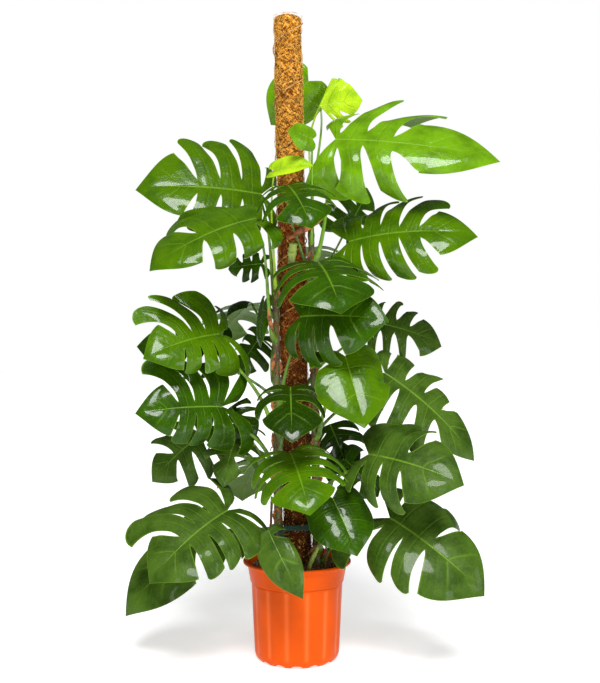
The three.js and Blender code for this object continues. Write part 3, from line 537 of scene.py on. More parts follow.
def blade_finish(name, upper, shade, under, vein, dull):
    """A glossy leaf material with the blade group's colours and relief.

    Dull is added to its roughness, and seven tenths of it are taken off its clear coat."""
    finish, tree, inputs = shader(name, Specular_IOR_Level=0.08, Coat_Weight=0.26 - 0.7 * dull,
                                  Coat_Roughness=0.07)
    given = {"Upper": (*upper, 1), "Shade": (*shade, 1), "Under": (*under, 1), "Vein": (*vein, 1),
             "Dull": dull}
    blade = node(tree, "Group", given, node_tree=group_for("Blade", blade_group)).outputs
    tree.links.new(blade["Colour"], inputs["Base Color"])
    tree.links.new(blade["Roughness"], inputs["Roughness"])
    roughened(tree, inputs, blade["Height"], 0.0009)
    return finish


# The pot and its soil

def rounded(corners, radius, steps=4):
    """The outline with each inner corner replaced by a parabola that starts and ends a radius from it."""
    corners = np.asarray(corners, float)
    before, corner, after = corners[:-2], corners[1:-1], corners[2:]
    cut = lambda to: np.minimum(radius / np.linalg.norm(to - corner, axis=1), 0.45)[:, None]
    a, b = mix(corner, before, cut(before)), mix(corner, after, cut(after))
    t = np.linspace(0, 1, steps + 1)[None, :, None]
    arcs = (1 - t) ** 2 * a[:, None] + 2 * t * (1 - t) * corner[:, None] + t ** 2 * b[:, None]
    return np.vstack([corners[:1], arcs.reshape(-1, 2), corners[-1:]])


def refined(outline, step):
    """The outline with points added so that none are further apart than the step."""
    length = np.concatenate([[0], np.cumsum(np.linalg.norm(np.diff(outline, axis=0), axis=1))])
    even = np.arange(0, length[-1], step)
    at = np.unique(np.round(np.concatenate([length, even]), 3))
    return np.stack([np.interp(at, length, outline[:, k]) for k in range(2)], axis=1)


def make_pot(settings):
    """The pot, a profile of radius and height turned about Z.

    Flutes take the cube of a cosine lobe off the wall's radius, and the foot's edge is lifted over each
    drainage notch by a half ellipse of the distance round the foot. The value "flute", the lobe's ninth
    power, marks a painted highlight: a paler line down each flute."""
    p = POT
    band_foot, lip_foot = p.height - p.band_height, p.height - p.lip
    outer = rounded([
        (6, 0), (p.sole - 9, 0), (p.sole - 1, 0.6), (p.foot - 3, 7), (p.foot, 18), (p.neck, band_foot - 8),
        (p.neck - 1.2, band_foot - 4.5), (p.band_bottom, band_foot - 3), (p.band_bottom + 0.6, band_foot + 3),
        (p.band_top, lip_foot - 5), (p.rim - 1.5, lip_foot), (p.rim, lip_foot + 1.5), (p.rim, p.height - 3),
        (p.rim - 3, p.height), (p.rim - 6, p.height - 1)], 2.4)
    inner = rounded([
        (p.band_top - p.wall + 1, p.height - 9), (p.band_bottom - p.wall - 2, band_foot),
        (p.foot - p.wall, 18), (p.sole - p.wall - 4, p.floor), (6, p.floor)], 3)
    outline = refined(np.vstack([outer, inner]), 5)
    outside = np.arange(len(outline))[:, None] <= np.argmax(outline[:, 1])
    columns = 16 * settings.flutes
    turn = 2 * np.pi * np.arange(columns)[None] / columns
    radius, height = outline[:, :1] + 0 * turn, outline[:, 1:] + 0 * turn
    on_wall = outside * eased((height - 12) / 14) * eased((band_foot - 6 - height) / 8)
    lobe = (0.5 + 0.5 * np.cos(settings.flutes * turn)) ** 3
    radius = radius - settings.flute_depth / MM * lobe * on_wall
    step = 2 * np.pi / settings.flutes
    round_foot = ((turn / step) % 1 - 0.5) * step * p.sole
    notch = np.sqrt(np.maximum((settings.notch_radius / MM) ** 2 - (round_foot / 1.7) ** 2, 0))
    under_edge = outside & (radius > p.sole - 13) & (height < 12)
    height = np.where(under_edge, np.maximum(height, notch), height)
    rings = np.stack([radius * np.cos(turn), radius * np.sin(turn), height], axis=-1)
    plastic, tree, inputs = shader("pot_plastic", Specular_IOR_Level=0.03, Coat_Weight=0.16,
                                   Coat_Roughness=0.04)
    mottle = mottle_node(tree, settings.colour, settings.shade, settings.colour, 1 / 11, 1 / 900)
    # Painted highlight: the plastic is paled towards the flute colour along each flute's line.
    painted_highlight = calc(tree, "MULTIPLY", carried(tree, "flute"), 0.4)
    tree.links.new(tinted(tree, painted_highlight, mottle["Colour"], settings.ridge), inputs["Base Color"])
    tree.links.new(span(tree, mottle["Wear"], 0.0, 1.0, 0.3, 0.38), inputs["Roughness"])
    roughened(tree, inputs, mottle["Height"], 0.00008)
    surfaces = Surfaces("flute")
    points, faces = closed_bodies(rings)
    highlight = (lobe ** 3 * on_wall * np.ones_like(radius)).ravel()
    surfaces.add(points, faces, flute=np.concatenate([highlight, [0, 0]]))
    surfaces.piece("nursery_pot", "pot", ["pot"], [plastic])


def soil_height(x, y):
    """The soil's top: a low mound that falls to the pot's wall, with broad lumps and fine grain."""
    out = np.hypot(x, y)
    place = np.stack([x, y, 0 * x], axis=-1)
    lumps = 2.0 * ripple(place, 38, 11) + 0.9 * ripple(place, 11, 12) + 0.35 * ripple(place, 4, 13)
    return SOIL_LEVEL + 1 + 8 * (1 - np.minimum(out / 112, 1) ** 2) + lumps * eased((116 - out) / 14)


def make_soil(settings):
    """The soil: rings that climb the wall and close over a lumpy top with crumbs, bark and grit on it.

    A crumb is a small ball of twelve points, each pushed in or out by a draw, stretched and laid on top."""
    rng = np.random.default_rng(5)
    columns = 180
    turn = 2 * np.pi * np.arange(columns)[None] / columns
    wall = [(5, 4.6), (88, 4.6), (101, 19), (110, 190), (112, SOIL_LEVEL - 2)]
    out = np.linspace(1, 0.04, 56)[:, None] * 112.2
    top = np.stack([out * np.cos(turn), out * np.sin(turn)], axis=-1)
    top = np.concatenate([top, soil_height(top[..., 0], top[..., 1])[..., None]], axis=-1)
    side = np.stack([np.stack([r * np.cos(turn[0]), r * np.sin(turn[0]), z + 0 * turn[0]], -1)
                     for r, z in wall])
    surfaces = Surfaces()
    surfaces.add(*closed_bodies(np.concatenate([side, top])))
    golden = (1 + 5 ** 0.5) / 2
    ball = [(a, b * golden, 0) for a in (-1, 1) for b in (-1, 1)]
    ball = unit(np.array([np.roll(p, k) for k in range(3) for p in ball], float))
    faces = hull_of(ball)
    kinds = ((0, settings.crumbs, (1.2, 4.2), 0.75), (1, settings.crumbs // 2, (2.0, 6.5), 0.3),
             (2, settings.crumbs // 7, (1.2, 3.2), 0.85))
    for finish, count, sizes, flatness in kinds:
        away = 110 * np.sqrt(rng.uniform(0, 1, count))
        bearing = rng.uniform(0, 2 * np.pi, count)
        x, y = away * np.cos(bearing), away * np.sin(bearing)
        size = rng.uniform(*sizes, count) * rng.uniform(0.5, 1, count)
        lumps = ball * (1 + 0.25 * rng.normal(size=(count, 12, 1)).clip(-1, 1))
        lumps = lumps * rng.uniform(0.6, 1.4, (count, 1, 3)) * [1, 1, flatness]
        twist = rng.uniform(0, 2 * np.pi, (count, 1))
        lumps = np.stack([
            lumps[..., 0] * np.cos(twist) - lumps[..., 1] * np.sin(twist),
            lumps[..., 0] * np.sin(twist) + lumps[..., 1] * np.cos(twist),
            lumps[..., 2] + rng.uniform(-0.5, 0.5, (count, 1)) * lumps[..., 0]], axis=-1)
        centre = np.stack([x, y, soil_height(x, y) + 0.2 * size], axis=-1)
        points = centre[:, None] + lumps * size[:, None, None]
        all_faces = (faces[None] + len(ball) * np.arange(count)[:, None, None]).reshape(-1, 3)
        surfaces.add(points.reshape(-1, 3), [all_faces], finish)
    dark = mottled("soil_crumb", settings.colour, paint(40, 24, 18), paint(206, 158, 124), 0.01, 0.002,
                   (0.85, 0.98), 0.0009)
    bark = mottled("soil_bark", paint(142, 72, 44), paint(70, 34, 24), paint(206, 150, 100), 0.008, 0.002,
                   (0.7, 0.9), 0.0004)
    grit = mottled("soil_grit", paint(214, 206, 190), paint(170, 158, 138), paint(240, 236, 226), 0.003,
                   0.0007, (0.8, 0.95), 0.0002)
    surfaces.piece("potting_soil", "soil", ["soil"], [dark, bark, grit], crease=180)


def hull_of(ball):
    """The triangles of the ball of twelve points: every three points that are all near one another."""
    i, j, k = np.array(np.meshgrid(*[np.arange(12)] * 3)).reshape(3, -1)
    near = lambda a, b: np.linalg.norm(ball[a] - ball[b], axis=1) < 1.2
    flat = np.cross(ball[j] - ball[i], ball[k] - ball[i])
    outward = (flat * ball[i]).sum(axis=1) > 0
    found = (i < j) & (i < k) & near(i, j) & near(j, k) & near(i, k) & outward
    return np.stack([i, j, k], axis=1)[found]


# The coir pole

def pole_at(height):
    """The pole's axis at each height: a straight line from its foot to its top."""
    foot, top = np.array(POLE.foot, float), np.array(POLE.top, float)
    share = (np.asarray(height, float) - foot[2]) / (top[2] - foot[2])
    return foot + share[..., None] * (top - foot)


def coir_radius(share):
    """The sleeve's radius along its length: slow swellings, as in the solid model."""
    return POLE.radius + 1.3 * np.sin(share * 41) * np.sin(share * 17 + 1)


def make_pole(settings):
    """The coir sleeve and its loose fibres.

    The sleeve's radius at a height and a turn is the pole's, plus soft noise at three sizes that leaves pits
    and tufts. A fibre runs on the sleeve from a drawn spot at a drawn slant, bends steadily, and lifts off
    the matting in a low arch."""
    rng = np.random.default_rng(3)
    columns, rows = 84, 470
    share = np.linspace(0, 1, rows)[:, None]
    low, top = POLE.coir_from, POLE.top[2]
    turn = 2 * np.pi * np.arange(columns)[None] / columns
    end = np.clip((1 - share) * (top - low) / 9, 0, 1)
    domed = np.sqrt(1 - (1 - end) ** 2)
    centre = pole_at(low + share[:, 0] * (top - low))[:, None]
    spoke = np.stack([np.cos(turn), np.sin(turn), 0 * turn], axis=-1)
    skin = centre + spoke * coir_radius(share)[..., None]
    squat = skin * [1, 1, 1.8]
    relief = 0.5 * ripple(skin, 26, 1) + 0.8 * ripple(squat, 8, 2) + 0.6 * ripple(squat, 4.2, 4)
    rings = centre + spoke * ((coir_radius(share) + relief - 0.4) * np.maximum(domed, 0.1))[..., None]
    surfaces = Surfaces("pit")
    points, faces = closed_bodies(rings)
    surfaces.add(points, faces, 0, pit=np.concatenate([relief.ravel(), [0, 0]]))

    count, steps = settings.fibres, 5
    along = np.linspace(0, 1, steps)[None]
    slant = rng.normal(0, 0.35, (count, 1)) + rng.choice([-0.85, 0.75, np.pi - 0.85], (count, 1))
    length = rng.uniform(14, 46, (count, 1))
    bend = rng.normal(0, 0.8, (count, 1))
    heading = slant + bend * along
    height = rng.uniform(low + 150, top - 4, (count, 1)) + length * np.cumsum(np.sin(heading), axis=1) / steps
    height = np.clip(height, low + 2, top - 2)
    bearing = rng.uniform(0, 2 * np.pi, (count, 1))
    bearing = bearing + length * np.cumsum(np.cos(heading), axis=1) / steps / POLE.radius
    lift = 0.9 + rng.uniform(0.2, 3.4, (count, 1)) * np.sin(np.pi * along) * rng.uniform(0, 1, (count, 1))
    out = np.stack([np.cos(bearing), np.sin(bearing), 0 * bearing], axis=-1)
    path = pole_at(height) + out * (coir_radius((height - low) / (top - low)) + lift)[..., None]
    thick = rng.uniform(0.25, 0.6, (count, 1, 1)) * np.sin(np.pi * (0.12 + 0.76 * along))[..., None]
    surfaces.add_tube(path, thick, 3, out, 1)
    surfaces.piece("coir_matting", "coir", ["coir_sleeve"], [coir_finish(settings), fibre_finish(settings)],
                   crease=180)


def down_pole(tree, dry, settings):
    """The coir's hue by height, with painted shade: dry at the top, a redder painted shade in the middle and
    a darker painted shade further down, where the leaves above shadow the pole.
    """
    place = node(tree, "TexCoord").outputs["Object"]
    height = node(tree, "SeparateXYZ", {0: place}).outputs["Z"]
    # Painted shade: darkest low down and redder in the middle, where the leaves above shadow the pole.
    damp = tinted(tree, span(tree, height, 0.6, 0.78), settings.coir_dark, settings.coir_shaded)
    return tinted(tree, span(tree, height, 1.08, 1.24), damp, dry)


def coir_finish(settings):
    """Matted coir: the hue of its height with its painted shade lower down, and paler strands that lean two
    ways over painted shade in the gaps and pits.
    """
    finish, tree, inputs = shader("coir_matted", Specular_IOR_Level=0.1, Roughness=0.95)
    dark = settings.coir_dark
    hue = down_pole(tree, settings.coir, settings)
    weave = calc(tree, "MAXIMUM", strand_noise(tree, 0.003, radians(50)),
                 strand_noise(tree, 0.0036, radians(-42)))
    patch = object_noise(tree, 0.016, 3.0)
    hue = tinted(tree, span(tree, weave, 0.58, 0.68), hue, tinted(tree, 0.75, hue, settings.straw))
    # Painted shade in the gaps between the strands.
    hue = tinted(tree, span(tree, weave, 0.57, 0.47, 0.0, 0.85), hue, dark)
    hue = tinted(tree, span(tree, patch, 0.5, 0.75, 0.0, 0.4), hue, dark)
    # Painted shade in the pits, deeper where the relief is lower.
    pits = span(tree, carried(tree, "pit"), 0.5, -0.9, 0.0, 0.8)
    tree.links.new(tinted(tree, pits, hue, dark), inputs["Base Color"])
    roughened(tree, inputs, weave, 0.004)
    return finish


def fibre_finish(settings):
    """Single coir fibres: the hue of their height with its painted shade lower down, paler than the matting,
    and darker by coarse noise.
    """
    finish, tree, inputs = shader("coir_fibre", Roughness=0.7)
    hue = down_pole(tree, mix(np.array(settings.coir), np.array(settings.straw), 0.7), settings)
    patch = span(tree, object_noise(tree, 0.012, 2.0), 0.4, 0.65, 0.0, 0.7)
    tree.links.new(tinted(tree, patch, hue, settings.coir_dark), inputs["Base Color"])
    return finish


def make_twine(settings):
    """The thread round the sleeve: a helix, whose section has three lobes that turn as it goes."""
    steps = 110 * TWINE.turns
    share = np.linspace(0, 1, steps)
    turn = 2 * np.pi * TWINE.turns * share
    height = TWINE.start + share * (POLE.top[2] - TWINE.start - 18)
    out = np.stack([np.cos(turn), np.sin(turn), 0 * turn], axis=-1)
    sag = 0.8 * ripple(np.stack([height, turn * 30, 0 * turn], -1), 70, 8)
    path = pole_at(height) + out * (POLE.radius + TWINE.lift + TWINE.radius + TWINE.gap - 0.8)
    path[:, 2] += sag
    sides = 9
    spoke = 2 * np.pi * np.arange(sides)[None] / sides
    radius = TWINE.radius * (1 + 0.2 * np.cos(3 * spoke - 300 * turn[:, None] / TWINE.turns))
    twisted = mottled("twine_thread", settings.twine, settings.coir_dark, settings.twine, 0.01, 0.0006,
                      (0.75, 0.9), 0.0003)
    surfaces = Surfaces()
    surfaces.add_tube(path, radius, sides, out)
    surfaces.piece("pole_thread", "twine", ["pole_twine"], [twisted], crease=180)


def dress_core(settings):
    """The wooden stake keeps its solid and gets grain that runs up it."""
    finish, tree, inputs = shader("stake_wood", Roughness=0.75)
    grain = object_noise(tree, 0.004, 5.0, (1, 1, 0.06))
    hue = tinted(tree, span(tree, grain, 0.35, 0.65), settings.stake, settings.coir_dark)
    tree.links.new(hue, inputs["Base Color"])
    roughened(tree, inputs, grain, 0.0006)
    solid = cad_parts["pole_core"]
    solid.data.materials.clear()
    solid.data.materials.append(finish)


# Stems and what grows on them

def stem_spot(stem, height):
    """The stem's middle and radius at a height, straight between the spots that it is led through."""
    spots = np.array(stem.spots, float)
    share = (height - spots[0, 2]) / (spots[-1, 2] - spots[0, 2])
    middle = np.array([np.interp(height, spots[:, 2], spots[:, k]) for k in range(3)])
    return middle, mix(*stem.radius, min(max(share, 0), 1))


def cupped_strip(spots, width, facing, cup, rows, columns, ragged, seed):
    """A strip along a path, as wide as a power of the sine of its length, and cupped across by a parabola.

    Cup is its depth in half widths, and ragged is the share by which noise changes the width."""
    share = np.linspace(0, 1, rows + 1)
    path = along_path(spots, share)
    facing = unit(np.array(facing, float))
    aside = unit(np.cross(unit(np.gradient(path, axis=0)), facing))
    across = np.linspace(-1, 1, columns + 1)
    half = width / 2 * np.maximum(np.sin(np.pi * share) ** 0.8, 0.12)
    half = half * (1 + ragged * ripple(np.stack([share * 40, 0 * share, 0 * share], -1), 9, seed))
    points = path[:, None] + aside[:, None] * (half[:, None] * across)[..., None]
    points = points + facing * (half[:, None] * cup * (1 - across ** 2))[..., None]
    points = points + facing * (0.04 * width * ripple(points, width, seed + 1))[..., None]
    return points.reshape(-1, 3), grid_triangles(rows + 1, columns + 1)


def root_finish(name, settings):
    """The brown bark of roots."""
    return mottled(name, settings.root, settings.stem_brown, settings.sheath, 0.008, 0.0012, (0.75, 0.95),
                   0.0005)


def make_stems(settings):
    """The three stems: rings along each path, thick at every joint, with a ridge and a scar line there.

    A dry scale wraps half of the stem at each joint, and short roots push out between them."""
    rng = np.random.default_rng(17)
    green = mottled("stem_green", settings.stem, settings.stem_brown, settings.stem_light, 0.03, 0.003,
                    (0.42, 0.62), 0.0006, Coat_Weight=0.05)
    scale = mottled("dry_scale", settings.sheath, settings.stem_brown, settings.stem_light, 0.01, 0.0015,
                    (0.7, 0.9), 0.0005)
    rooty = root_finish("root_bark", settings)
    for side, stem in STEMS.items():
        path = along_path(stem.spots, np.linspace(0, 1, 200))
        foot, top = stem.spots[0][2], stem.spots[-1][2]
        along = (path[:, 2] - foot) / (top - foot)
        from_joint = (along * (top - foot) / NODE_STEP) % 1
        from_joint = np.minimum(from_joint, 1 - from_joint) * NODE_STEP
        radius = mix(*stem.radius, along) * (0.9 + 0.1 * np.exp(-(from_joint / 16) ** 2))
        radius = radius + 0.5 * np.exp(-(from_joint / 2.2) ** 2)
        rings = rings_along(path, radius[:, None], 24, FRONT)
        rings = rings + 0.35 * ripple(rings, 7, 20)[..., None] * unit(rings - path[:, None])
        surfaces = Surfaces()
        surfaces.add(*closed_bodies(rings))
        for number, joint in enumerate(np.arange(foot + 1.2 * NODE_STEP, top, NODE_STEP)):
            middle, thick = stem_spot(stem, joint)
            bearing = rng.uniform(-2.6, -0.5)
            out = np.array([np.cos(bearing), np.sin(bearing), 0])
            tall = rng.uniform(24, 44)
            spots = [middle + out * (thick + 0.6) - UP * 4, middle + out * (thick + 0.9) + UP * tall * 0.4,
                     middle + out * (thick + rng.uniform(1.5, 5)) + UP * tall]
            surfaces.add_strip(spots, 2.1 * thick, -out, 0.7, 1, cup=0.55, rows=14, columns=8, ragged=0.12,
                               seed=number)
            bearing = rng.uniform(-3.0, 0)
            out = np.array([np.cos(bearing), np.sin(bearing), 0])
            reach = rng.uniform(6, 20)
            share = np.linspace(0, 1, 9)
            nub = along_path([middle + out * (thick - 3), middle + out * (thick + reach * 0.5) - UP * 2,
                              middle + out * (thick + reach * 0.8) - UP * (4 + reach * 0.8)], share)
            taper = mix(2.3, 0.7, share)[:, None]
            surfaces.add_tube(nub, taper, 8, np.cross(out, UP), 2)
        surfaces.piece("stem_climbing_" + side, "stem", ["stem_" + side], [green, scale, rooty])


def make_growth(settings):
    """Long roots, cut stalks and loose dry sheaths.

    Roots and stubs are rings along a smooth path, with a knobbly radius that is rounded off at both ends.
    Sheaths are cupped strips with a ragged width."""
    rooty = root_finish("long_root_bark", settings)
    fresh = mottled("cut_stalk", settings.stub, settings.stem, settings.stem_light, 0.02, 0.002,
                    (0.4, 0.55), 0.0003)
    dry = mottled("dry_sheath", settings.sheath, settings.stem_brown, settings.stem_light, 0.012, 0.0016,
                  (0.65, 0.85), 0.0004)
    for slot, name, node_name, finish, pieces in (
            ("root", "long_root_", "air_root_", rooty, ROOTS),
            ("stub", "cut_stub_", "stalk_stub_", fresh, STUBS)):
        for number, piece in enumerate(pieces, 1):
            share = np.linspace(0, 1, 60)
            path = along_path(piece.spots, share)
            radius = mix(*piece.radius, share)
            knobs = 1 + 0.1 * ripple(path, 16, 30 + number) + 0.05 * ripple(path, 6, 40 + number)
            tip = np.sqrt(np.clip(1 - (2 * np.abs(share - 0.5)) ** 24, 0.03, 1))
            surfaces = Surfaces()
            surfaces.add_tube(path, (radius * knobs * tip)[:, None], 14, np.cross(UP, path[-1] - path[0]))
            surfaces.piece(name + str(number), slot, [node_name + str(number)], [finish])
    for number, (width, facing, spots) in enumerate(SHEATHS, 1):
        surfaces = Surfaces()
        surfaces.add_strip(spots, width, facing, 0.8, cup=0.6, rows=30, columns=12, ragged=0.14,
                           seed=50 + number)
        surfaces.piece("dry_sheath_" + str(number), "sheath", ["sheath_" + str(number)], [dry])


def make_tie(settings):
    """The tie: a band round the stems, with a crinkled edge and a knot with two tails in front.

    Its outline seen from above is, for each bearing, the stem that lies furthest that way plus the slack
    along the bearing."""
    bearing = np.linspace(0, 2 * np.pi, 720, endpoint=False)
    out = np.stack([np.cos(bearing), np.sin(bearing)], axis=-1)
    middles = np.array([stem_spot(stem, TIE.height)[0][:2] for stem in STEMS.values()])
    furthest = middles[np.argmax(out @ middles.T, axis=1)]
    loop = furthest + out * (TIE.slack + TIE.thickness / 2)
    loop = respaced(np.vstack([loop, loop[:1]]), 241)[:-1]
    tangent = unit(np.roll(loop, -1, axis=0) - np.roll(loop, 1, axis=0))
    side = np.stack([tangent[:, 1], -tangent[:, 0]], axis=-1)
    section = np.array([(-1, -1), (-0.4, -1.1), (0.4, -1.1), (1, -1), (1.1, 0), (1, 1), (0.4, 1.1),
                        (-0.4, 1.1), (-1, 1), (-1.1, 0)]) * [TIE.thickness / 2, TIE.width / 2]
    crinkle = 1 + 0.1 * ripple(np.concatenate([loop, loop[:, :1] * 0], axis=1), 12, 60)
    flat = loop[:, None] + side[:, None] * section[:, :1]
    tall = TIE.height + TIE.width / 2 + section[:, 1] * crinkle[:, None]
    rings = np.concatenate([flat, tall[..., None]], axis=-1)
    here = np.arange(rings.shape[0] * len(section)).reshape(rings.shape[:2])
    next_ring, next_side = np.roll(here, -1, axis=0), np.roll(here, -1, axis=1)
    both = np.roll(next_ring, -1, axis=1)
    band = np.stack([here, next_side, both, next_ring], axis=-1).reshape(-1, 4)[:, ::-1]
    surfaces = Surfaces()
    surfaces.add(rings.reshape(-1, 3), [band])
    front = loop[np.argmin(loop[:, 1])]
    knot = np.array([*front, TIE.height + 5.5]) + FRONT * 1.5
    for lean in (-1, 1):
        spots = [knot, knot + [lean * 9, -5, -8], knot + [lean * 13, -7, -30]]
        surfaces.add_strip(spots, 9, FRONT, 0.8, cup=0.3, rows=24, columns=8, ragged=0.1, seed=60 + lean)
    share = np.linspace(0, 1, 20)
    lump = knot + (share[:, None] - 0.5) * [13, 0, 3]
    bulge = 4.6 * np.sqrt(np.clip(1 - (2 * share - 1) ** 2, 0.02, 1)) * (1 + 0.15 * np.cos(share * 40))
    surfaces.add_tube(lump, bulge[:, None], 14, FRONT)
    finish, tree, inputs = shader("tie_netting", Roughness=0.85, Sheen_Weight=0.15)
    place = node(tree, "TexCoord").outputs["Object"]
    turned = node(tree, "Mapping", {"Vector": place, "Rotation": (0.6, 0.5, 0.8), "Scale": (420,) * 3})
    weave = node(tree, "TexWave", {"Vector": turned.outputs[0], "Scale": 1.0, "Distortion": 1.0})
    weave = weave.outputs["Fac"]
    tree.links.new(tinted(tree, weave, settings.tie, 0.4 * np.array(settings.tie)), inputs["Base Color"])
    roughened(tree, inputs, weave, 0.0006)
    surfaces.piece("stem_band", "tie", ["stem_tie"], [finish])


# Leaves

def blade_frame(leaf):
    """How a blade lies: its midrib is an arc from base to tip, arched towards the face that it shows."""
    base, tip = np.array(leaf.base, float), np.array(leaf.tip, float)
    reach = np.linalg.norm(tip - base)
    chord = (tip - base) / reach
    turn, lift = np.radians(leaf.face)
    face = np.array([np.sin(turn) * np.cos(lift), -np.cos(turn) * np.cos(lift), np.sin(lift)])
    normal = unit(face - chord * (face @ chord))
    arc = radians(leaf.droop)
    radius = reach / (2 * np.sin(arc / 2))
    return SimpleNamespace(base=base, chord=chord, normal=normal, reach=reach, arc=arc, radius=radius,
                           length=radius * arc)


def vein_share(q, leaf):
    """Which vein a number q is, from 0 at the sinus to 1 at the tip; the end lobe has a share of its own."""
    lobes = leaf.lobes
    end = 1 if lobes == 1 else leaf.end
    side = q * (1 - end) / max(lobes - 1, 1)
    return np.clip(np.where(q < lobes - 1, side, 1 - end + (q - lobes + 1) * end), 0, 1)


def flat_place(q, b, leaf):
    """The blade in its own plane, for a vein number q from the sinus to the tip and a share b out along it.

    The margin is a heart round a centre on the midrib: its radius is even but for a point at the tip that
    fades exponentially with the angle, and an ear by the sinus that is a bell of the angle. A vein leaves
    the midrib (or, for the first of them, the base) and bends forward to the margin on a parabola."""
    p = vein_share(q, leaf)
    angle = radians(leaf.back) * (1 - p)
    o = OUTLINE
    radius = o.round + o.point * np.exp(-angle / o.taper)
    radius = radius + leaf.ear * np.exp(-((angle - o.ear_at) / o.ear_wide) ** 2)
    start = VEIN_END * np.clip((p - FAN) / (1 - FAN), 0, 1) ** 1.08
    ahead, out = o.centre + radius * np.cos(angle) - start, radius * np.sin(angle)
    bulge = VEIN_BEND * np.sin(np.pi * p) * 2 * b * (1 - b)
    return start + ahead * b - out * bulge, np.maximum(out * b + ahead * bulge, 0) * leaf.width


def bent_place(lie, leaf, along, aside, side):
    """A flat place bent into space: along the midrib's arc, then out over a fold that curls steadily down."""
    swing = lie.arc * (along - 0.5)
    up = np.cos(swing)[..., None] * lie.normal + np.sin(swing)[..., None] * lie.chord
    out = np.cross(lie.normal, lie.chord) * side
    fold = radians(leaf.fold)
    curl = max(radians(leaf.curl[0 if side > 0 else 1]) / 0.5, 1e-3)
    tilt = fold - curl * aside
    spot = lie.base + lie.chord * (lie.reach / 2 + lie.radius * np.sin(swing))[..., None]
    spot = spot + lie.normal * (lie.radius * (np.cos(swing) - np.cos(lie.arc / 2)))[..., None]
    spot = spot + out * (lie.length * (np.sin(fold) - np.sin(tilt)) / curl)[..., None]
    spot = spot + up * (lie.length * (np.cos(tilt) - np.cos(fold)) / curl)[..., None]
    return spot, up * np.cos(tilt)[..., None] - out * np.sin(tilt)[..., None], up


def slit_opening(leaf, side_index, edge, b):
    """How far a slit has opened at a share b out, in lobes: a quarter of an ellipse from its inner end."""
    cut = leaf.cut + 0.05 * chance(leaf.seed, 40 + edge + 20 * side_index)
    t = np.clip((b - cut) / (1 - cut), 0, 1)
    wide = leaf.gap * (1 + 0.35 * chance(leaf.seed, 80 + edge + 20 * side_index))
    return wide * np.sqrt(t * (2 - t)) * is_open(leaf, side_index, edge)


def is_open(leaf, side_index, edge):
    """Where an edge between lobes has a slit: not at the sinus, not at the tip, not where it is shut."""
    return (edge > 0) & (edge < leaf.lobes) & ~np.isin(edge, leaf.shut[side_index])


def half_blade(leaf, lie, side):
    """One side of the blade as an array of places (lobe, out, across), with how far its slits have opened.

    Each lobe's margin is reached later at its rear corner, which hooks its tip forward; beyond the root the
    lobe also sways, sags, twists and arches by its own draws, and its margin waves a little."""
    side_index = 0 if side > 0 else 1
    whole = leaf.lobes == 1
    columns = WHOLE_COLUMNS if whole else COLUMNS
    lobe = np.arange(leaf.lobes)[:, None, None]
    b = np.linspace(0, 1, ROWS + 1)[None, :, None]
    across = np.linspace(-1, 1, columns + 1)[None, None, :]
    last = lobe == leaf.lobes - 1
    draw = lambda place: chance(leaf.seed, place + lobe + 20 * side_index)
    before, after = (slit_opening(leaf, side_index, lobe + k, b) for k in (0, 1))
    outward = np.clip((b - VEIN_ROOT) / (1 - VEIN_ROOT), 0, 1)
    given = list(leaf.reach[side_index])[:leaf.lobes]
    reach = 1 + 0.06 * draw(100)
    reach[:len(given), 0, 0] = given
    reach = np.where(last, 1 + (reach - 1) * (1 - across) / 2, reach)
    hook = leaf.hook * ((1 - across) / 2) ** 2.2 * is_open(leaf, side_index, lobe)
    rounding = 0.1 * np.clip(across, 0, 1) ** 6 * is_open(leaf, side_index, lobe + 1)
    margin = reach * (1 - hook - rounding)
    share = np.where(b <= VEIN_ROOT, b, VEIN_ROOT + (b - VEIN_ROOT) * (1 + (margin - 1) * np.sqrt(outward)))
    lean = leaf.lean[side_index] * (lobe > 0)
    sway = 0 if whole else np.where(last, 0, 0.5 * leaf.sway * draw(120) + lean)
    q = lobe + before + (1 - after - before) * (across + 1) / 2 + sway * outward ** 1.5
    along, aside = flat_place(q, share, leaf)
    spot, local, up = bent_place(lie, leaf, along, aside, side)
    half = 0.4 / leaf.lobes * lie.length
    inner = np.where(last, (across - 1) / 2, across)
    sag = leaf.sag * np.where(last, 0.4, 1 + 1.2 * draw(140)) * lie.length * outward ** 1.5
    twist = np.where(last, 0, 0.5 * draw(160) * half * across * outward)
    pleat = 0.25 * (1 - outward) * np.clip(2 * b, 0, 1) * (1 - np.cos(np.pi * inner))
    arch = 0 if whole else leaf.arch * half * (outward * inner ** 2 + pleat)
    wave = np.sin(9 * b + 6 * draw(180) + 2 * across) * inner ** 2 * eased(2 * b - 0.6)
    ribs = 4 if whole else 1
    quilt = 0.3 * np.cos(3 * np.pi * ribs * inner) * eased(8 * b) * (1 - b) * (1 - 0.8 * inner ** 2)
    lift = twist - arch + 0.008 * lie.length * wave - quilt * (inner != 0)
    local = np.where(last[..., None], up, local)
    values = {"out": b + 0 * q, "aside": np.abs(((across + 1) / 2 * ribs) % 1 * 2 - 1) + 0 * q}
    return spot + local * (lift - sag)[..., None], before + 0 * q, values, q


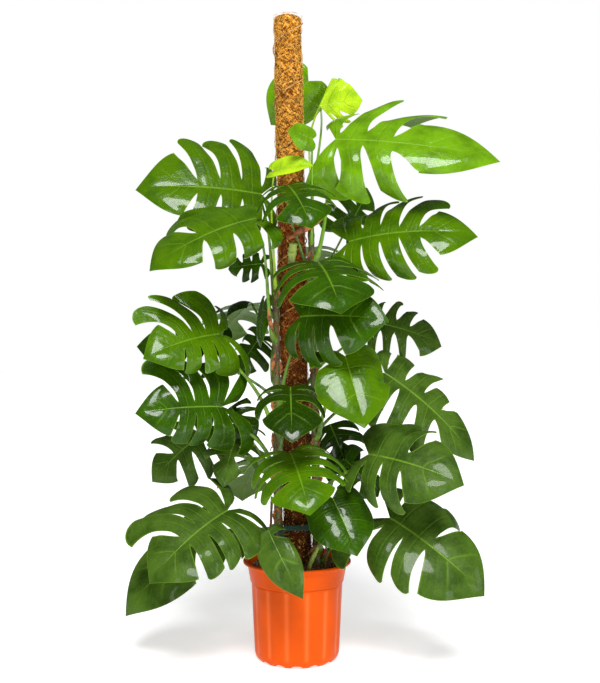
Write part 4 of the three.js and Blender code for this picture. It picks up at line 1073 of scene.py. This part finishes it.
def blade_sheet(leaf, lie):
    """The blade's middle surface as one sheet: neighbours share their points wherever no slit parts them."""
    halves = [half_blade(leaf, lie, side) for side in (1, -1)]
    points = np.stack([half[0] for half in halves])
    opened = np.stack([half[1] for half in halves])[..., 0]
    q = np.stack([half[3] for half in halves])
    here = np.arange(points[..., 0].size).reshape(points.shape[:-1])
    joined = here.copy()
    shut = (opened == 0)[:, 1:]
    joined[:, 1:, :, 0] = np.where(shut, joined[:, :-1, :, -1], joined[:, 1:, :, 0])
    joined[1, :, 0] = joined[0, :, 0]
    joined[1, -1, :, -1] = joined[0, -1, :, -1]
    at_base = vein_share(q[:, :, 0], leaf) <= FAN
    joined[:, :, 0] = np.where(at_base, joined[0, 0, 0, 0], joined[:, :, 0])
    points[1, -1, :, -1] = points[0, -1, :, -1] = (points[0, -1, :, -1] + points[1, -1, :, -1]) / 2
    a, b, c, d = (joined[:, :, k:k - 1 or None, j:j - 1 or None] for k, j in ((0, 0), (0, 1), (1, 1), (1, 0)))
    sides = []
    for side_index in (0, 1):
        corner = [v[side_index].ravel() for v in (a, b, c, d)]
        pair = np.concatenate([np.stack([corner[i] for i in order], 1) for order in ((0, 1, 2), (0, 2, 3))])
        sides.append(pair[:, ::-1] if side_index else pair)
    triangles = np.concatenate(sides)
    distinct = (triangles != np.roll(triangles, 1, axis=1)).all(axis=1)
    kept, triangles = np.unique(triangles[distinct], return_inverse=True)
    values = {label: np.stack([half[2][label] for half in halves]).ravel()[kept]
              for label in ("out", "aside")}
    backbone = np.concatenate([points[0, :, 0].reshape(-1, 3), points[0, -1, 1:, -1]])
    return points.reshape(-1, 3)[kept], triangles.reshape(-1, 3), values, backbone


def stalk_path(leaf, lie):
    """The stalk's middle line: a cubic Bezier that rises from the stem and arrives at the blade's sinus."""
    middle, thick = stem_spot(STEMS[leaf.stem], leaf.root)
    heading = unit((lie.base - middle) * [1, 1, 0])
    start = middle + heading * (thick + leaf.stalk[0] + 1)
    reach = np.linalg.norm(lie.base - start)
    arrive = unit(0.6 * lie.normal + 0.35 * lie.chord + 0.6 * UP)
    end, _, _ = bent_place(lie, leaf, np.array(0.02), np.array(0.0), 1)
    away, before = start + (0.12 * heading + 0.42 * UP) * reach, lie.base - 0.35 * reach * arrive
    t = np.linspace(0, 1, STALK_STEPS)[:, None]
    curve = (1 - t) ** 3 * start + 3 * t * (1 - t) ** 2 * away + 3 * t ** 2 * (1 - t) * before + t ** 3 * end
    return np.vstack([middle + heading * 2 - 14 * UP, mix(middle - 14 * UP, start, 0.6), curve]), heading


def make_leaves(settings):
    """Every leaf: its thickened blade, the midrib that stands proud of both faces, and its stalk.

    The stalk's radius falls from its base to the blade, flares where its sheath clasps the stem, and swells
    at the joint under the blade; the midrib's falls to a thread at the tip."""
    tones = {
        "new": (settings.new, settings.fresh), "fresh": (settings.fresh, settings.mid),
        "mid": (settings.mid, settings.dark), "dark": (settings.dark, settings.deep),
        "shaded": (settings.deep, 0.7 * np.array(settings.deep)), "aged": (settings.aged, settings.deep)}
    blades = {tone: blade_finish("leaf_" + tone, upper, shade, settings.under, settings.vein,
                                 0.16 if tone == "aged" else 0.0)
              for tone, (upper, shade) in tones.items()}
    ribs = {tone: mottled("rib_" + tone, mix(np.array(settings.vein), np.array(upper), 0.55), upper,
                          settings.vein, 0.02, 0.003, (0.35, 0.5), 0.0002, Coat_Weight=0.15)
            for tone, (upper, _) in tones.items()}
    tone_of = {number: tone for tone, numbers in TONES.items() for number in numbers}
    for number, leaf in enumerate(LEAVES, 1):
        leaf.seed = number
        lie = blade_frame(leaf)
        surfaces = Surfaces("out", "aside", "under", "rim")
        sheet, triangles, values, backbone = blade_sheet(leaf, lie)
        solid, faces, under, rim = thickened(sheet, triangles, BLADE_THICKNESS)
        values = {label: np.tile(value, 2) for label, value in values.items()}
        surfaces.add(solid, faces, 0, under=under, rim=rim, **values)
        path, heading = stalk_path(leaf, lie)
        share = np.linspace(0, 1, len(path))
        thick, thin = leaf.stalk
        radius = mix(thick, thin, np.minimum(share * 1.6, 1)) * 0.92
        radius = radius * (1 + 0.5 * eased(1 - share * 7) + 0.16 * np.exp(-((share - 0.95) / 0.025) ** 2))
        surfaces.add_tube(path, radius[:, None], 14, np.cross(heading, UP), 1)
        spine = respaced(backbone[np.r_[True, np.linalg.norm(np.diff(backbone, axis=0), axis=1) > 1e-6]], 46)
        share = np.linspace(0, 1, len(spine))
        width = mix(0.62 * thin, 0.5, share ** 0.7)
        surfaces.add_tube(spine - lie.normal * (0.45 * width)[:, None], width[:, None], 10,
                          np.cross(lie.normal, lie.chord), 1)
        tone = tone_of.get(number, "dark")
        surfaces.piece(f"monstera_leaf_{number:02d}", "leaf", [f"leaf_{number:02d}"],
                       [blades[tone], ribs[tone]])


# The stage

def place_lamp(name, light, place, aim):
    """A lamp at a place, turned towards what it lights."""
    lamp = bpy.data.objects.new(name, light)
    lamp.location = place
    away = np.array(place, float) - aim
    lean, bearing = np.arctan2(np.hypot(*away[:2]), away[2]), np.arctan2(away[1], away[0])
    lamp.rotation_euler = (lean, 0, bearing + np.pi / 2)
    bpy.context.scene.collection.objects.link(lamp)


def make_stage(settings):
    """A pale floor, soft lights from the front and above, and the camera."""
    size = settings.floor_size / 2
    mesh = bpy.data.meshes.new("floor")
    corners = [(x * size, y * size, 0) for x, y in ((-1, -1), (1, -1), (1, 1), (-1, 1))]
    mesh.from_pydata(corners, [], [(0, 1, 2, 3)])
    floor = bpy.data.objects.new("floor", mesh)
    bpy.context.scene.collection.objects.link(floor)
    finish, _, _ = shader("floor_matte", Base_Color=(*settings.floor_colour, 1), Roughness=0.9,
                          Emission_Color=(1, 1, 1, 1), Emission_Strength=settings.floor_glow)
    mesh.materials.append(finish)
    for name, place, width, power in (
            ("key_strip", (-1.48, -2.6, 0.7), 0.32, settings.key_power),
            ("middle_strip", (1.1, -2.6, 0.7), 0.45, 0.7 * settings.fill_power),
            ("fill_panel", (2.8, -1.6, 1.5), 0.8, settings.fill_power)):
        light = bpy.data.lights.new(name, "AREA")
        light.shape = "RECTANGLE"
        light.size, light.size_y, light.energy = width, settings.lamp_height, power
        place_lamp(name, light, place, (0, 0, place[2]))
    sun = bpy.data.lights.new("soft_daylight", "SUN")
    sun.angle, sun.energy = settings.sun_spread, settings.sun_strength
    place_lamp("soft_daylight", sun, (0.1, -2.2, 3.5), (0, 0, 0.8))
    world = bpy.data.worlds.new("white_room")
    world.use_nodes = True
    tree = world.node_tree
    back = tree.nodes["Background"]
    back.inputs["Color"].default_value = (*settings.room_colour, 1)
    seen = node(tree, "LightPath").outputs["Is Camera Ray"]
    strength = calc(tree, "ADD", calc(tree, "MULTIPLY", seen, 1 - settings.room_light), settings.room_light)
    tree.links.new(strength, back.inputs["Strength"])
    bpy.context.scene.world = world
    lens = bpy.data.cameras.new("camera")
    lens.sensor_fit = "HORIZONTAL"
    lens.sensor_width = 36
    lens.lens = settings.focal_length
    camera = bpy.data.objects.new("camera", lens)
    camera.location = settings.camera_place
    camera.rotation_euler = (np.pi / 2, 0, 0)
    bpy.context.scene.collection.objects.link(camera)
    bpy.context.scene.camera = camera
    bpy.context.scene.view_settings.view_transform = "Standard"


# What a user can change

def colour_property(name, description, *screen):
    """A colour setting from a screen colour of 0 to 255."""
    return bpy.props.FloatVectorProperty(
        name=name, description=description, subtype="COLOR", size=3, min=0, max=1, default=paint(*screen))


def number_property(name, description, default, unit="NONE"):
    """A number, in metres where its unit is a length."""
    return bpy.props.FloatProperty(name=name, description=description, default=default, unit=unit)


class PotSettings(bpy.types.PropertyGroup):
    colour: colour_property("Colour", "Colour of the pot's plastic", 216, 80, 0)
    # Painted highlight: the colour of the paler line painted down each flute.
    ridge: colour_property("Flute", "Paler, polished line down each flute", 255, 128, 64)
    shade: colour_property("Shade", "Darker patches of the plastic", 204, 76, 0)
    flutes: bpy.props.IntProperty(
        name="Flutes", description="Flutes round the wall", default=14, min=3, max=30)
    flute_depth: number_property("Flute depth", "How deep a flute is", 0.0014, "LENGTH")
    notch_radius: number_property("Notch radius", "Size of the notches under the foot", 0.008, "LENGTH")


class SoilSettings(bpy.types.PropertyGroup):
    colour: colour_property("Colour", "Colour of the damp soil", 118, 74, 52)
    crumbs: bpy.props.IntProperty(name="Crumbs", description="Loose crumbs on top", default=1700, min=0)


class PoleSettings(bpy.types.PropertyGroup):
    coir: colour_property("Coir", "Dry coir high on the pole", 234, 156, 46)
    # Painted shade: the darker, redder coir where the leaves above shadow the middle of the pole.
    coir_shaded: colour_property("Low coir", "Damp coir low on the pole", 168, 84, 28)
    straw: colour_property("Straws", "Paler strands on top of the matting", 255, 206, 104)
    # Painted shade in the pits, in the gaps between strands and low on the pole; also the dark of the stake's
    # grain and of the thread and fibre patches.
    coir_dark: colour_property("Pits", "Deep places between the fibres", 84, 38, 6)
    twine: colour_property("Thread", "Thread wound round the coir", 214, 166, 96)
    stake: colour_property("Stake", "Wood of the stake", 150, 118, 80)
    fibres: bpy.props.IntProperty(name="Fibres", description="Loose fibres", default=3900, min=0)


class PlantSettings(bpy.types.PropertyGroup):
    new: colour_property("New leaf", "Upper face of a leaf just unrolled", 182, 220, 32)
    fresh: colour_property("Fresh leaf", "Upper face of a young leaf", 106, 156, 14)
    mid: colour_property("Leaf", "Upper face of a grown leaf", 72, 110, 1)
    dark: colour_property("Dark leaf", "Upper face of a shaded leaf", 44, 80, 1)
    deep: colour_property("Deep green", "Darkest patches of a leaf", 28, 54, 1)
    aged: colour_property("Old leaf", "Upper face of an old leaf", 66, 94, 26)
    under: colour_property("Under side", "Lower face of a leaf", 84, 114, 46)
    vein: colour_property("Vein", "Midribs, side veins and stalks", 128, 172, 40)
    stem: colour_property("Stem", "Skin of the climbing stems", 86, 96, 44)
    stem_light: colour_property("Stem flecks", "Pale flecks and scars", 150, 136, 84)
    stem_brown: colour_property("Stem brown", "Corky patches of the stems", 74, 50, 30)
    sheath: colour_property("Dry sheath", "Papery sheaths round the joints", 178, 98, 42)
    root: colour_property("Root", "Bark of the roots", 104, 74, 46)
    stub: colour_property("Cut stalk", "Stubs left where leaves were cut", 156, 180, 74)
    tie: colour_property("Tie", "Band round the stems", 8, 84, 70)


class StageSettings(bpy.types.PropertyGroup):
    floor_size: number_property("Floor", "Width of the floor", 40, "LENGTH")
    floor_colour: colour_property("Floor colour", "Colour of the floor", 224, 224, 224)
    floor_glow: number_property("Floor glow", "Light of the floor itself", 0.6)
    room_colour: colour_property("Room colour", "Colour of the light all round", 255, 255, 255)
    room_light: number_property("Room light", "Light from all round", 0.12)
    key_power: number_property("Key", "Light from the left", 9, "POWER")
    fill_power: number_property("Fill", "Light from the right", 18, "POWER")
    lamp_height: number_property("Lamp height", "How tall the lamps are", 1.3, "LENGTH")
    sun_strength: number_property("Daylight", "Soft light from above", 3.3)
    sun_spread: number_property("Daylight spread", "How soft the daylight is", radians(22), "ROTATION")
    focal_length: number_property("Lens", "Focal length on 36 mm", 57.24)
    camera_place: bpy.props.FloatVectorProperty(
        name="Camera", description="Where the camera stands", subtype="TRANSLATION", unit="LENGTH",
        default=(0.0075, -2.389, 0.787))


# The operators and the panel

class PLANT_OT_pot(bpy.types.Operator):
    """Add the nursery pot"""
    bl_idname = "plant.pot"
    bl_label = "Pot"

    def execute(self, context):
        make_pot(context.scene.plant_pot)
        return {"FINISHED"}


class PLANT_OT_soil(bpy.types.Operator):
    """Add the soil with its crumbs, bark and grit"""
    bl_idname = "plant.soil"
    bl_label = "Soil"

    def execute(self, context):
        make_soil(context.scene.plant_soil)
        return {"FINISHED"}


class PLANT_OT_pole(bpy.types.Operator):
    """Add the coir sleeve with its fibres, the thread round it and the stake's grain"""
    bl_idname = "plant.pole"
    bl_label = "Coir pole"

    def execute(self, context):
        make_pole(context.scene.plant_pole)
        make_twine(context.scene.plant_pole)
        dress_core(context.scene.plant_pole)
        return {"FINISHED"}


class PLANT_OT_stems(bpy.types.Operator):
    """Add the three climbing stems with their scales and short roots"""
    bl_idname = "plant.stems"
    bl_label = "Stems"

    def execute(self, context):
        make_stems(context.scene.plant_plant)
        return {"FINISHED"}


class PLANT_OT_growth(bpy.types.Operator):
    """Add the long roots, the cut stalks and the dry sheaths"""
    bl_idname = "plant.growth"
    bl_label = "Roots, stubs and sheaths"

    def execute(self, context):
        make_growth(context.scene.plant_plant)
        return {"FINISHED"}


class PLANT_OT_tie(bpy.types.Operator):
    """Add the band round the stems"""
    bl_idname = "plant.tie"
    bl_label = "Stem tie"

    def execute(self, context):
        make_tie(context.scene.plant_plant)
        return {"FINISHED"}


class PLANT_OT_leaves(bpy.types.Operator):
    """Add every leaf with its stalk"""
    bl_idname = "plant.leaves"
    bl_label = "Leaves"

    def execute(self, context):
        make_leaves(context.scene.plant_plant)
        return {"FINISHED"}


class PLANT_OT_stage(bpy.types.Operator):
    """Add the floor, the lights and the camera"""
    bl_idname = "plant.stage"
    bl_label = "Stage"

    def execute(self, context):
        make_stage(context.scene.plant_stage)
        return {"FINISHED"}


OPERATORS = (PLANT_OT_pot, PLANT_OT_soil, PLANT_OT_pole, PLANT_OT_stems, PLANT_OT_growth, PLANT_OT_tie,
             PLANT_OT_leaves, PLANT_OT_stage)
SETTINGS = {"pot": PotSettings, "soil": SoilSettings, "pole": PoleSettings, "plant": PlantSettings,
            "stage": StageSettings}


class PLANT_PT_pieces(bpy.types.Panel):
    bl_idname = "PLANT_PT_pieces"
    bl_label = "Potted plant"
    bl_space_type = "VIEW_3D"
    bl_region_type = "UI"
    bl_category = "Plant"

    def draw(self, context):
        for operator in OPERATORS:
            self.layout.operator(operator.bl_idname)
        for name, kind in SETTINGS.items():
            box = self.layout.box()
            box.label(text=name.capitalize())
            for setting in kind.__annotations__:
                box.prop(getattr(context.scene, "plant_" + name), setting)


def register():
    for kind in (*SETTINGS.values(), *OPERATORS, PLANT_PT_pieces):
        bpy.utils.register_class(kind)
    for name, kind in SETTINGS.items():
        setattr(bpy.types.Scene, "plant_" + name, bpy.props.PointerProperty(type=kind))


def unregister():
    for name in SETTINGS:
        delattr(bpy.types.Scene, "plant_" + name)
    for kind in reversed((*SETTINGS.values(), *OPERATORS, PLANT_PT_pieces)):
        bpy.utils.unregister_class(kind)


def main():
    """Builds every piece."""
    register()
    for operator in OPERATORS:
        group, name = operator.bl_idname.split(".")
        getattr(getattr(bpy.ops, group), name)()


if __name__ == "__main__":
    main()
